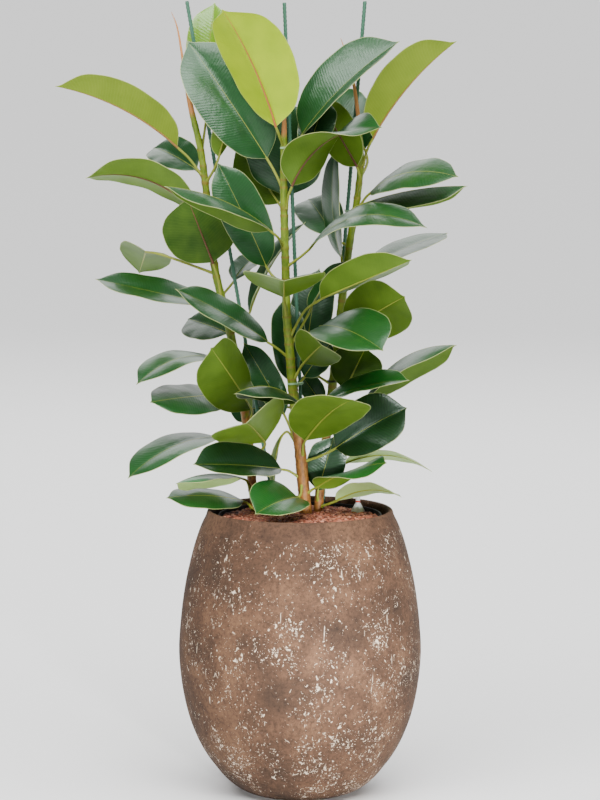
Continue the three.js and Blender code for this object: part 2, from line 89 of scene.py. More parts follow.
def add_node(
    tree: Tree, kind: str, inputs: dict | None = None, out: str | int = 0, **settings: object
) -> Socket:
    """Adds one node with its settings, values and links.

    Args:
        tree: node tree of the material.
        kind: Blender's name of the node type after its "ShaderNode".
        inputs: socket name or number to its value or to the output socket that feeds it.
        out: name or number of the output socket that is wanted.
        settings: properties to set; "stops" holds a colour ramp's (place, hex) pairs.

    Returns:
        The output socket.
    """
    node = tree.nodes.new("ShaderNode" + kind)
    stops = settings.pop("stops", ())
    for name, value in settings.items():
        setattr(node, name, value)
    if stops:
        while len(node.color_ramp.elements) < len(stops):
            node.color_ramp.elements.new(0.5)
        for element, (place, colour) in zip(node.color_ramp.elements, stops):
            element.position = place
            element.color = srgb(colour)
    plug(tree, node, inputs or {})
    return node.outputs[out]


def new_material(name: str) -> Material:
    """Makes an empty node material.

    Args:
        name: the material's name.

    Returns:
        The material, with just its Principled shader.
    """
    material = bpy.data.materials.new(name)
    material.use_nodes = True
    return material


def finished(material: Material, inputs: dict) -> Material:
    """Feeds the material's Principled shader with values and sockets, and returns it."""
    plug(material.node_tree, material.node_tree.nodes["Principled BSDF"], inputs)
    return material


def deselect() -> None:
    """Leaves edit mode and deselects everything."""
    if bpy.context.object and bpy.context.object.mode != "OBJECT":
        bpy.ops.object.mode_set(mode="OBJECT")
    bpy.ops.object.select_all(action="DESELECT")


def select(*pieces: Object) -> None:
    """Selects just these objects and makes the first one active."""
    deselect()
    for piece in pieces:
        piece.select_set(True)
    bpy.context.view_layer.objects.active = pieces[0]


def edit() -> None:
    """Opens edit mode on the active object with everything selected."""
    bpy.ops.object.mode_set(mode="EDIT")
    bpy.ops.mesh.select_all(action="SELECT")


def face_outwards() -> None:
    """Turns every face of the edited mesh outwards and leaves edit mode."""
    bpy.ops.mesh.select_all(action="SELECT")
    bpy.ops.mesh.normals_make_consistent(inside=False)
    bpy.ops.object.mode_set(mode="OBJECT")


def take(name: str) -> Object:
    """Names the active object and its mesh.

    Args:
        name: the name for both.

    Returns:
        The object.
    """
    piece = bpy.context.object
    piece.name = piece.data.name = name
    return piece


def settle(piece: Object) -> Object:
    """Applies the object's place, turn and scale to its mesh.

    Args:
        piece: the object.

    Returns:
        The same object.
    """
    select(piece)
    bpy.ops.object.transform_apply(location=True, rotation=True, scale=True)
    return piece


def smooth(piece: Object, degrees: float = 40.0) -> None:
    """Shades the piece smooth except at edges sharper than an angle."""
    select(piece)
    bpy.ops.object.shade_smooth_by_angle(angle=math.radians(degrees))


def dress(
    piece: Object, nodes: tuple[str, ...], materials: tuple[Material, ...] = ()
) -> Object:
    """Gives a piece its materials, its place on the body and the nodes it stands for.

    Args:
        piece: the finished object.
        nodes: CAD nodes that the piece stands for.
        materials: materials to append, in slot order.

    Returns:
        The same object.
    """
    for material in materials:
        piece.data.materials.append(material)
    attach(piece, ROOT_BODY)
    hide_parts(*nodes)
    LOG.info("%s: %d faces, for %s", piece.name, len(piece.data.polygons), ", ".join(nodes))
    return piece


def curve_through(shares: np.ndarray, knots: np.ndarray, at: np.ndarray) -> np.ndarray:
    """Draws smooth lines through knots at uneven shares.

    Args:
        shares: growing shares, one for each knot.
        knots: array of knots by any shape.
        at: shares to evaluate.

    Returns:
        The places at those shares.
    """
    slopes = np.gradient(knots, shares, axis=0)
    index = np.clip(np.searchsorted(shares, at, side="right") - 1, 0, len(shares) - 2)
    span = shares[index + 1] - shares[index]
    t = (at - shares[index]) / span
    shape = (-1,) + (1,) * (knots.ndim - 1)
    t, span = t.reshape(shape), span.reshape(shape)
    return (
        (2 * t**3 - 3 * t**2 + 1) * knots[index]
        + (t**3 - 2 * t**2 + t) * span * slopes[index]
        + (3 * t**2 - 2 * t**3) * knots[index + 1]
        + (t**3 - t**2) * span * slopes[index + 1]
    )


def through(points: list[tuple[float, ...]], steps: int) -> list[tuple[float, ...]]:
    """Draws a smooth line through points.

    Args:
        points: points of any dimension.
        steps: spans between one point and the next.

    Returns:
        The finer list of points, ends included.
    """
    count = len(points)
    at = np.arange((count - 1) * steps + 1) / steps
    fine = curve_through(np.arange(count), np.array(points, float), at)
    return [tuple(float(v) for v in point) for point in fine]


def thrown(name: str, outline: list[tuple[float, float]], sides: int) -> Object:
    """Models a round body the way a thrown pot grows: ring on ring, each at its own radius.

    Args:
        name: the piece's name.
        outline: (radius, height) pairs in mm from the underside, round to the last inner ring.
        sides: points round each ring.

    Returns:
        The closed piece.
    """
    deselect()
    radius, height = outline[0]
    bpy.ops.mesh.primitive_circle_add(
        vertices=sides, radius=radius * MM, location=(0, 0, height * MM), fill_type="NGON"
    )
    edit()
    for (was, low), (now, high) in zip(outline, outline[1:]):
        bpy.ops.mesh.extrude_region_move(
            TRANSFORM_OT_translate={"value": (0, 0, (high - low) * MM)}
        )
        ratio = now / was
        bpy.ops.transform.resize(value=(ratio, ratio, 1), center_override=(0, 0, high * MM))
    face_outwards()
    return settle(take(name))


def drawn_tube(name: str, points: list[tuple[float, float, float, float]], sides: int) -> Object:
    """Models a round rod of changing thickness along a line.

    Args:
        name: the piece's name.
        points: x, y, z and radius in mm.
        sides: facets round the rod; even.

    Returns:
        The closed mesh.
    """
    deselect()
    bpy.ops.curve.primitive_bezier_curve_add(location=(0, 0, 0))
    line = bpy.context.object.data
    line.splines.clear()
    spline = line.splines.new("POLY")
    spline.points.add(len(points) - 1)
    for knot, (x, y, z, radius) in zip(spline.points, points):
        knot.co = (x * MM, y * MM, z * MM, 1)
        knot.radius = radius
    line.dimensions = "3D"
    line.bevel_depth = MM
    line.bevel_resolution = sides // 2 - 2
    line.use_fill_caps = True
    bpy.ops.object.convert(target="MESH")
    rod = take(name)
    edit()
    bpy.ops.mesh.remove_doubles(threshold=1e-6)
    face_outwards()
    return settle(rod)


def point_value(piece: Object, name: str, values: np.ndarray) -> None:
    """Stores one number for each point of the mesh under a name."""
    attribute = piece.data.attributes.new(name, "FLOAT", "POINT")
    attribute.data.foreach_set("value", values.astype(np.float32))


def unit(ways: np.ndarray) -> np.ndarray:
    """Scales each direction to length 1."""
    return ways / np.maximum(np.linalg.norm(ways, axis=-1, keepdims=True), 1e-9)


# ---------------------------------------------------------------- finishes
@dataclass(frozen=True)
class CastStone:
    """Cast stone composite, rubbed back: brown and matte, with pale filler left in the pits.

    The eye gets soft brown clouds, dark grain, and clusters of pale flecks and short streaks,
    which stop below the lip, where the rubbing took them off.
    """

    ground: str = "4B3424"
    light: str = "694C36"
    dark: str = "2B1E14"
    grime: str = "5E5A56"
    filler: str = "BCAC98"
    cloud_mm: float = 110.0
    grain_mm: float = 7.0
    grain_share: float = 0.75
    pit_mm: float = 8.0
    fleck_mm: float = 3.6
    fleck_rarity: float = 0.04
    streak_mm: float = 6.0
    streak_squeeze: float = 0.05  # a streak is twenty times as tall as wide
    streak_rarity: float = 0.07
    cluster_mm: float = 85.0
    sparse: float = 0.70
    crowded: float = 0.575
    rubbed_from: float = 0.566
    rubbed_over: float = 0.015
    rubbed_by: float = 0.09

    def body(self, tree: Tree, place: Socket) -> tuple[Socket, Socket]:
        """Draws the brown ground.

        Args:
            tree: node tree of the material.
            place: the piece's own coordinates.

        Returns:
            The ground's colour and its grain.
        """
        cloud = add_node(
            tree, "TexNoise",
            {"Vector": place, "Scale": 1000 / self.cloud_mm, "Detail": 6.0, "Roughness": 0.62},
        )
        brown = add_node(
            tree, "ValToRGB", {"Fac": cloud},
            stops=[(0.28, self.dark), (0.50, self.ground), (0.72, self.light)],
        )
        grain = add_node(
            tree, "TexNoise",
            {"Vector": place, "Scale": 1000 / self.grain_mm, "Detail": 8.0, "Roughness": 0.75},
        )
        worn = add_node(
            tree, "ValToRGB", {"Fac": grain}, stops=[(0.34, self.grime), (0.56, "FFFFFF")]
        )
        toned = add_node(
            tree, "Mix", {0: self.grain_share, 6: brown, 7: worn}, 2,
            data_type="RGBA", blend_type="MULTIPLY",
        )
        return toned, grain

    def spots(self, tree: Tree, place: Socket) -> Socket:
        """Draws pits, flecks and streaks as one height.

        Args:
            tree: node tree of the material.
            place: the piece's own coordinates.

        Returns:
            The highest of the three at each place.
        """
        stretched = add_node(tree, "Mapping", {"Vector": place, "Scale": (1.0, 1.0, 0.8)})
        highest = add_node(
            tree, "TexNoise",
            {
                "Vector": stretched, "Scale": 1000 / self.pit_mm, "Detail": 3.0,
                "Roughness": 0.6, "Distortion": 0.8,
            },
        )
        for size, squeeze, rarity in (
            (self.fleck_mm, 1.0, self.fleck_rarity),
            (self.streak_mm, self.streak_squeeze, self.streak_rarity),
        ):
            drawn = add_node(tree, "Mapping", {"Vector": place, "Scale": (1.0, 1.0, squeeze)})
            noise = add_node(
                tree, "TexNoise", {"Vector": drawn, "Scale": 1000 / size, "Detail": 2.0}
            )
            rarer = add_node(tree, "Math", {0: noise, 1: rarity}, operation="SUBTRACT")
            highest = add_node(tree, "Math", {0: highest, 1: rarer}, operation="MAXIMUM")
        return highest

    def filled(self, tree: Tree, place: Socket) -> Socket:
        """Tells where pale filler shows.

        Args:
            tree: node tree of the material.
            place: the piece's own coordinates.

        Returns:
            1 on the filler and 0 beside it.
        """
        clusters = add_node(
            tree, "TexNoise",
            {"Vector": place, "Scale": 1000 / self.cluster_mm, "Detail": 3.0, "Roughness": 0.7},
        )
        needed = add_node(
            tree, "MapRange", {0: clusters, 1: 0.36, 2: 0.66, 3: self.sparse, 4: self.crowded}
        )
        height = add_node(tree, "SeparateXYZ", {0: place}, "Z")
        rubbed = add_node(
            tree, "MapRange",
            {
                0: height, 1: self.rubbed_from, 2: self.rubbed_from + self.rubbed_over,
                3: 0.0, 4: self.rubbed_by,
            },
        )
        over = self.spots(tree, place)
        for less in (needed, rubbed):
            over = add_node(tree, "Math", {0: over, 1: less}, operation="SUBTRACT")
        return add_node(tree, "MapRange", {0: over, 1: 0.0, 2: 0.03, 3: 0.0, 4: 1.0})

    def material(self) -> Material:
        """Returns the planter's material."""
        material = new_material("cast_stone_composite")
        tree = material.node_tree
        place = add_node(tree, "TexCoord", out="Object")
        toned, grain = self.body(tree, place)
        filled = self.filled(tree, place)
        coloured = add_node(
            tree, "Mix", {0: filled, 6: toned, 7: srgb(self.filler)}, 2, data_type="RGBA"
        )
        relief = add_node(tree, "Math", {0: filled, 1: -1.2, 2: grain}, operation="MULTIPLY_ADD")
        bump = add_node(tree, "Bump", {"Strength": 0.5, "Distance": 0.0012, "Height": relief})
        return finished(
            material,
            {
                "Base Color": coloured, "Normal": bump, "Roughness": 0.88,
                "Specular IOR Level": 0.3,
            },
        )


@dataclass(frozen=True)
class BakedClay:
    """Baked clay granules: porous red clay, each a little lighter or darker than the next."""

    light: str = "DD9C80"
    mid: str = "A0583F"
    dark: str = "34180F"
    pore_mm: float = 1.11

    def material(self) -> Material:
        """Returns the granules' material."""
        material = new_material("baked_clay_granules")
        tree = material.node_tree
        tone = add_node(tree, "Attribute", out="Fac", attribute_name="tone")
        colour = add_node(
            tree, "ValToRGB", {"Fac": tone},
            stops=[(0.0, self.dark), (0.45, self.mid), (1.0, self.light)],
        )
        place = add_node(tree, "TexCoord", out="Object")
        pores = add_node(
            tree, "TexNoise", {"Vector": place, "Scale": 1000 / self.pore_mm, "Detail": 2.0}
        )
        bump = add_node(tree, "Bump", {"Strength": 0.4, "Distance": 0.0006, "Height": pores})
        return finished(material, {"Base Color": colour, "Normal": bump, "Roughness": 0.75})


@dataclass(frozen=True)
class PlainPlastic:
    """Moulded plastic, coated wire or wax of one colour: even and slightly glossy."""

    name: str
    colour: str
    roughness: float = 0.5
    transmission: float = 0.0

    def material(self) -> Material:
        """Returns the material."""
        return finished(
            new_material(self.name),
            {
                "Base Color": srgb(self.colour), "Roughness": self.roughness,
                "Transmission Weight": self.transmission, "IOR": 1.46,
            },
        )


@dataclass(frozen=True)
class StemSkin:
    """Living stem: smooth green skin above, tan bark below, and a papery sheath at the bud."""

    green: str = "7E901A"
    green_dark: str = "526E14"
    bark_light: str = "A47232"
    bark: str = "8C5C24"
    bark_dark: str = "543216"
    scar: str = "8A5428"
    sheath: str = "BE8048"
    mottle_mm: float = 6.25
    patch_mm: float = 22.2

    def material(self) -> Material:
        """Returns the stems' material; point values tell how woody, scarred or papery it is."""
        material = new_material("stem_skin")
        tree = material.node_tree
        place = add_node(tree, "TexCoord", out="Object")
        long_grain = add_node(tree, "Mapping", {"Vector": place, "Scale": (1.0, 1.0, 0.35)})
        mottle = add_node(
            tree, "TexNoise",
            {
                "Vector": long_grain, "Scale": 1000 / self.mottle_mm, "Detail": 6.0,
                "Roughness": 0.7,
            },
        )
        colour = add_node(
            tree, "ValToRGB", {"Fac": mottle},
            stops=[(0.35, self.green_dark), (0.62, self.green)],
        )
        bark = add_node(
            tree, "ValToRGB", {"Fac": mottle},
            stops=[(0.34, self.bark_dark), (0.50, self.bark), (0.7, self.bark_light)],
        )
        wood, scar, sheath = (
            add_node(tree, "Attribute", out="Fac", attribute_name=name)
            for name in ("wood", "scar", "sheath")
        )
        patchy = add_node(
            tree, "TexNoise", {"Vector": place, "Scale": 1000 / self.patch_mm, "Detail": 4.0}
        )
        edge = add_node(tree, "Math", {0: wood, 1: patchy}, operation="ADD")
        woody = add_node(tree, "MapRange", {0: edge, 1: 0.92, 2: 1.08, 3: 0.0, 4: 1.0})
        for share, over in ((woody, bark), (scar, srgb(self.scar)), (sheath, srgb(self.sheath))):
            colour = add_node(tree, "Mix", {0: share, 6: colour, 7: over}, 2, data_type="RGBA")
        bump = add_node(tree, "Bump", {"Strength": 0.5, "Distance": 0.001, "Height": mottle})
        return finished(material, {"Base Color": colour, "Normal": bump, "Roughness": 0.55})


class LeafSide(Enum):
    """The two faces of a leaf."""

    UPPER = "upper"
    UNDER = "under"


@dataclass(frozen=True)
class LeafSkin:
    """Leaf skin: waxy and dark above, matte and paler below, with fine parallel side veins.

    The eye gets a broken sheen above, side veins a few millimetres apart that slant towards the
    tip, and a thin pale rim.
    """

    name: str
    side: LeafSide
    deep: str
    bright: str
    # pale: top stop of the blade, reached only by high tones; painted light
    pale: str
    vein: str
    roughness: float
    coat: float
    vein_mm: float = 6.2
    vein_share: float = 0.1
    vein_slant: float = -0.42
    vein_sway_mm: float = 14.0
    blotch_mm: float = 45.45
    swell_mm: float = 29.4
    swell: float = 9.0
    rim: str = "C2CB86"
    rim_share: float = 0.5
    sheen: str = "D2F2DE"

    def colour(self, tree: Tree, blotch: Socket, ripple: Socket) -> Socket:
        """Mixes blade, side veins and rim; the blade's pale top stop is painted light.

        Args:
            tree: node tree of the material.
            blotch: soft uneven growth of the blade.
            ripple: sine of the side veins.

        Returns:
            The colour.
        """
        tone, inset = (
            add_node(tree, "Attribute", out="Fac", attribute_name=name)
            for name in ("tone", "inset")
        )
        mixed = add_node(tree, "Math", {0: blotch, 1: 0.5, 2: tone}, operation="MULTIPLY_ADD")
        shade = add_node(tree, "Math", {0: mixed, 1: 0.5}, operation="MULTIPLY")
        # high tones carry the blade into the pale stop: painted light
        colour = add_node(
            tree, "ValToRGB", {"Fac": shade},
            stops=[(0.05, self.deep), (0.475, self.bright), (0.9, self.pale)],
        )
        line = add_node(
            tree, "MapRange", {0: ripple, 1: 0.4, 2: 1.0, 3: 0.0, 4: self.vein_share}
        )
        rim = add_node(tree, "MapRange", {0: inset, 1: 0.5, 2: 1.7, 3: self.rim_share, 4: 0.0})
        for share, over in ((line, self.vein), (rim, self.rim)):
            colour = add_node(
                tree, "Mix", {0: share, 6: colour, 7: srgb(over)}, 2, data_type="RGBA"
            )
        return colour

    def material(self) -> Material:
        """Returns the material, drawn by the blade's own along, across, inset and tone values."""
        material = new_material(self.name)
        tree = material.node_tree
        upper = self.side is LeafSide.UPPER
        along, across = (
            add_node(tree, "Attribute", out="Fac", attribute_name=name)
            for name in ("along", "across")
        )
        place = add_node(tree, "TexCoord", out="Object")
        blotch = add_node(
            tree, "TexNoise", {"Vector": place, "Scale": 1000 / self.blotch_mm, "Detail": 3.0}
        )
        slanted = add_node(
            tree, "Math", {0: across, 1: self.vein_slant, 2: along}, operation="MULTIPLY_ADD"
        )
        swayed = add_node(
            tree, "Math", {0: blotch, 1: self.vein_sway_mm, 2: slanted}, operation="MULTIPLY_ADD"
        )
        turns = add_node(
            tree, "Math", {0: swayed, 1: math.tau / self.vein_mm}, operation="MULTIPLY"
        )
        ripple = add_node(tree, "Math", {0: turns}, operation="SINE")
        swell = add_node(
            tree, "TexNoise", {"Vector": place, "Scale": 1000 / self.swell_mm, "Detail": 2.0}
        )
        swollen = add_node(tree, "Math", {0: swell, 1: self.swell}, operation="MULTIPLY")
        relief = add_node(
            tree, "Math", {0: ripple, 1: -0.35 if upper else 0.35, 2: swollen},
            operation="MULTIPLY_ADD",
        )
        bump = add_node(
            tree, "Bump",
            {"Strength": 0.3 if upper else 0.12, "Distance": 0.0005, "Height": relief},
        )
        return finished(
            material,
            {
                "Base Color": self.colour(tree, blotch, ripple), "Normal": bump,
                "Coat Normal": bump, "Roughness": self.roughness, "Coat Weight": self.coat,
                "Coat Roughness": 0.26, "Specular Tint": srgb(self.sheen),
                "Specular IOR Level": 0.5 if upper else 0.22,
            },
        )


# ---------------------------------------------------------------- planter and what it holds
@dataclass
class Planter:
    """Egg-shaped planter with a rounded lip, and the black culture pot inside it."""

    sides: int = 128
    foot_radius: float = 100.0
    outline: list[tuple[float, float]] = field(
        default_factory=lambda: [
            (104, 0), (134, 14), (161, 36), (181, 60), (199, 84), (217, 116), (234, 158),
            (246, 203), (254, 252), (258, 305), (256, 350), (250, 410), (242, 460), (232, 505),
            (221, 545), (209, 578), (203, 590), (199, 599),
        ]
    )
    lip: list[tuple[float, float]] = field(
        default_factory=lambda: [
            (197.8, 604.5), (196, 608), (193.5, 609.8), (190.5, 609), (188.3, 606), (187.2, 600),
        ]
    )
    inside: list[tuple[float, float]] = field(
        default_factory=lambda: [
            (187, 590), (205, 545), (226, 460), (240, 350), (238, 252), (218, 158), (183, 84),
            (145, 40), (112, 26),
        ]
    )

    def build(self) -> None:
        """Models the shell and gives the culture pot its plastic."""
        outside = through(self.outline, 3)
        outside[0] = (self.foot_radius, 0.0)
        shell = thrown(
            "planter_shell", outside + self.lip + through(self.inside, 2), self.sides
        )
        smooth(shell, 50)
        dress(shell, ("planter",), (CastStone().material(),))
        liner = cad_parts["liner"]
        liner.data.materials.clear()
        liner.data.materials.append(PlainPlastic("black_moulded_plastic", "0C0B0A", 0.85).material())
        LOG.info("liner: culture pot keeps its own solid")


@dataclass
class GranuleBed:
    """Loose baked clay granules heaped level just under the lip."""

    clear: tuple[tuple[float, float, float], ...]
    level: float = 590.0
    edge: float = 169.0
    floor: float = 40.0
    floor_radius: float = 105.0
    spacing: float = 6.3
    size: float = 3.7
    stray: float = 2.2
    chip: float = 0.14
    stretch: tuple[float, float] = (0.75, 1.2)
    tilt: float = 0.9
    sunk: float = 2.2
    toss: tuple[float, float] = (-1.8, 2.2)
    tone_bias: tuple[float, float] = (1.6, 1.9)
    shoulder: tuple[float, float] = (9.0, 8.0)
    # tone of the body under the granules: dark, painted shade in the gaps between granules
    gap_shade_tone: float = 0.12
    row_share: float = 0.866  # height of a triangle with sides of 1
    seed: int = 11

    ROOM = 3.0  # kept free round a stem or a stake

    def blank(self) -> tuple[np.ndarray, np.ndarray]:
        """Models one granule of radius 1.

        Returns:
            Its points and its faces.
        """
        deselect()
        bpy.ops.mesh.primitive_cube_add(size=2)
        edit()
        bpy.ops.mesh.subdivide(number_cuts=1)
        bpy.ops.transform.tosphere(value=0.8)
        bpy.ops.object.mode_set(mode="OBJECT")
        stone = take("granule_blank")
        points = np.array([v.co for v in stone.data.vertices])
        faces = np.array([list(p.vertices) for p in stone.data.polygons])
        bpy.data.objects.remove(stone)
        return points, faces

    def places(self, dice: random.Random) -> list[tuple[float, float]]:
        """Returns centres of the granules on a shaken hexagonal grid, clear of stems and rods.

        Args:
            dice: the bed's own seeded draw.

        Returns:
            Pairs of x and y in mm.
        """
        found = []
        rows = int(self.edge / (self.spacing * self.row_share)) + 1
        for row in range(-rows, rows + 1):
            for column in range(-rows - 3, rows + 4):
                x = (column + 0.5 * (row % 2)) * self.spacing
                x += dice.uniform(-self.stray, self.stray)
                y = row * self.spacing * self.row_share + dice.uniform(-self.stray, self.stray)
                inside = math.hypot(x, y) <= self.edge - self.size
                if inside and all(math.hypot(x - a, y - b) >= r for a, b, r in self.clear):
                    found.append((x, y))
        return found

    def stone(self, blank: np.ndarray, x: float, y: float, dice: random.Random) -> np.ndarray:
        """Chips, stretches, turns and drops one granule.

        Args:
            blank: points of the plain granule.
            x: its place across, in mm.
            y: its place in depth, in mm.
            dice: the bed's own seeded draw.

        Returns:
            Its points in mm.
        """
        stretch = np.array([dice.uniform(*self.stretch) for _ in range(3)]) * self.size
        turn = dice.uniform(0, math.tau)
        tilt = dice.uniform(-self.tilt, self.tilt)
        chips = np.array([[dice.uniform(-self.chip, self.chip)] for _ in blank])
        points = blank * (1 + chips) * stretch
        c, s = math.cos(tilt), math.sin(tilt)
        points = points @ np.array([[1, 0, 0], [0, c, -s], [0, s, c]])
        c, s = math.cos(turn), math.sin(turn)
        points = points @ np.array([[c, -s, 0], [s, c, 0], [0, 0, 1]])
        return points + np.array([x, y, self.level - self.sunk + dice.uniform(*self.toss)])

    def build(self) -> None:
        """Heaps the granules on a body of the same clay, coloured dark as painted shade in the gaps
        between them.
        """
        dice = random.Random(self.seed)
        blank, faces = self.blank()
        stones, rings, tones = [], [], []
        for x, y in self.places(dice):
            rings.append(faces + len(stones) * len(blank))
            stones.append(self.stone(blank, x, y, dice))
            tones.append(np.full(len(blank), dice.betavariate(*self.tone_bias)))
        mesh = bpy.data.meshes.new("clay_granules")
        mesh.from_pydata((np.concatenate(stones) * MM).tolist(), [], np.concatenate(rings).tolist())
        heap = bpy.data.objects.new("clay_granules", mesh)
        bpy.context.scene.collection.objects.link(heap)
        point_value(heap, "tone", np.concatenate(tones))
        smooth(heap, 60)
        clay = BakedClay().material()
        dress(heap, ("granules",), (clay,))
        wider, higher = self.shoulder
        outline = [
            (self.floor_radius, self.floor), (self.floor_radius + wider, self.floor + higher),
            (self.edge - 2, self.level - 5),
        ]
        body = thrown("clay_bed", outline, 48)
        # the body takes a dark tone: painted shade showing between the granules
        point_value(body, "tone", np.full(len(body.data.vertices), self.gap_shade_tone))
        dress(body, ("granules",), (clay,))


@dataclass
class WaterGauge:
    """Water gauge: a clear tube with a float's colour marks, standing in a bell-shaped foot."""

    x: float = 124.0
    y: float = 80.0
    foot: float = 592.9
    top: float = 635.0
    radius: float = 5.0
    cap: float = 6.2
    buried: float = 150.0
    mark: float = 5.15
    around: float = 13.0  # no granule stands nearer to the axis

    def part(
        self, name: str, outline: list[tuple[float, float]], sides: int, finish: PlainPlastic
    ) -> Object:
        """Models and dresses one round part on the gauge's own axis.

        Args:
            name: the piece's name.
            outline: (radius, height) pairs in mm.
            sides: points round each ring.
            finish: what it is made of.

        Returns:
            The part.
        """
        piece = thrown(name, outline, sides)
        piece.location = (self.x * MM, self.y * MM, 0)
        return dress(settle(piece), ("gauge",), (finish.material(),))

    def build(self) -> None:
        """Models the foot, the tube with its cap, and the yellow and red marks in it."""
        low, top = self.foot, self.top
        bell = [
            (14, low), (14, low + 2.5), (13, low + 4), (11, low + 8), (8.5, low + 12.5),
            (6.4, low + 16.2), (5.8, low + 17),
        ]
        grey = PlainPlastic("grey_moulded_plastic", "D2D4D8", 0.35)
        smooth(self.part("gauge_foot", bell, 32, grey))
        bottom = low - self.buried
        tube = [
            (4.6, bottom), (self.radius, bottom + 1), (self.radius, top - 8),
            (self.cap, top - 7.5), (self.cap, top - 1), (5.2, top),
        ]
        clear = PlainPlastic("clear_tube_plastic", "DDE3E8", 0.2, 0.2)
        smooth(self.part("gauge_tube", tube, 24, clear))
        for name, colour, rise, tall in (
            ("red", "C8341C", 19.5, 3.6), ("yellow", "E0C030", 33, 2.8),
        ):
            height = low + rise
            band = [
                (4.9, height), (self.mark, height + 0.4), (self.mark, height + tall),
                (4.9, height + tall),
            ]
            paint = PlainPlastic(f"{name}_float_mark", colour, 0.4)
            self.part(f"gauge_mark_{name}", band, 16, paint)


# ---------------------------------------------------------------- stems, stakes and ties
class Side(Enum):
    """The three stems, and each one's stake, by where they stand."""

    LEFT = "left"
    CENTRE = "centre"
    RIGHT = "right"


@dataclass
class Stem:
    """One stem: a line of (x, y, z, radius) in mm with the marks that old leaves left."""

    side: Side
    line: list[tuple[float, float, float, float]]
    woody_to: float
    sheath_from: float
    seed: int
    buried: float = 95.0
    sides: int = 16
    steps: int = 24
    ring_swell: float = 0.9
    ring_half: float = 2.2
    lump: float = 0.25
    skin_depth: float = 0.35
    scar_strength: float = 0.6
    scar_core: float = 1.15
    scar_half: float = 2.4
    scar_below: float = 7.0  # under the leaf it belongs to
    scars_from: float = 18.0
    scars_stop: float = 60.0
    scars_apart: float = 14.0
    joint: tuple[float, float] = (26, 52)
    bark_fade: float = 160.0
    sheath_fade: float = 14.0

    def scars(self, roots: list[float], dice: random.Random) -> list[float]:
        """Returns the heights of the rings: under each leaf, and where old leaves have dropped.

        Args:
            roots: heights in mm where leaves grow out of the stem.
            dice: the stem's own seeded draw.

        Returns:
            Heights in mm.
        """
        found = [root - self.scar_below for root in roots]
        height = self.line[0][2] + self.scars_from
        while height < self.sheath_from - self.scars_stop:
            if all(abs(height - other) > self.scars_apart for other in found):
                found.append(height)
            height += dice.uniform(*self.joint)
        return sorted(found)

    def build(self, skin: Material, roots: list[float]) -> None:
        """Models the stem and stores how woody, scarred and papery each point is.

        Args:
            skin: the stems' material.
            roots: heights in mm where its leaves grow.
        """
        scars = self.scars(roots, random.Random(self.seed))
        first, second = self.line[:2]
        below = self.buried / (second[2] - first[2])
        bottom = tuple(first[i] - (second[i] - first[i]) * below for i in range(3))
        fine = []
        for x, y, z, radius in through([(*bottom, first[3])] + self.line, self.steps):
            near = min((abs(z - scar) for scar in scars), default=99)
            swell = self.ring_swell * math.exp(-((near / self.ring_half) ** 2))
            lump = self.lump * math.sin(z * 0.21 + self.seed) if z < self.sheath_from else 0
            thick = max(self.skin_depth, radius - self.skin_depth + swell + lump)
            fine.append((x, y, z, thick))
        stem = drawn_tube(f"{self.side.value}_stem", fine, self.sides)
        heights = np.array([v.co.z for v in stem.data.vertices]) / MM
        nearest = np.min(np.abs(heights[:, None] - np.array(scars)[None, :]), axis=1)
        scarred = np.clip(self.scar_core - nearest / self.scar_half, 0, 1) * self.scar_strength
        point_value(stem, "scar", scarred)
        woody = (self.woody_to - heights) / self.bark_fade + 0.5
        point_value(stem, "wood", np.clip(woody, 0, 1))
        papery = (heights - self.sheath_from) / self.sheath_fade
        point_value(stem, "sheath", np.clip(papery, 0, 1))
        smooth(stem, 60)
        dress(stem, (f"stem_{self.side.value}",), (skin,))


@dataclass
class Stake:
    """A coated steel stake with rows of small knobs, straight from the granules to its top."""

    side: Side
    foot: tuple[float, float, float]
    top: tuple[float, float, float]
    stop: float = 1682.0
    radius: float = 4.5
    pitch: float = 9.0
    groove: float = 0.65
    buried: float = 200.0
    coat_inset: float = 0.05
    end_taper: float = 1.2

    RINGS_A_KNOB = 3
    END_GAP = 0.4

    def build(self, coat: Material) -> None:
        """Models the stake with its knobs.

        Args:
            coat: the stakes' material.
        """
        foot, top = np.array(self.foot), np.array(self.top)
        along = (top - foot) / np.linalg.norm(top - foot)
        length = (self.stop - foot[2]) / along[2]
        points = []
        reach = -self.buried
        while reach < length - 1:
            groove = 0.0 if len(points) % self.RINGS_A_KNOB == 0 else self.groove
            points.append((*(foot + along * reach), self.radius - self.coat_inset - groove))
            reach += self.pitch / self.RINGS_A_KNOB
        points.append((*(foot + along * (length - self.END_GAP)), self.radius - self.end_taper))
        stake = drawn_tube(f"{self.side.value}_stake", points, 10)
        smooth(stake, 50)
        dress(stake, (f"stake_{self.side.value}",), (coat,))

    def at(self, height: float) -> np.ndarray:
        """Returns the stake's x and y at a height."""
        foot, top = np.array(self.foot), np.array(self.top)
        return (foot + (top - foot) * (height - foot[2]) / (top[2] - foot[2]))[:2]


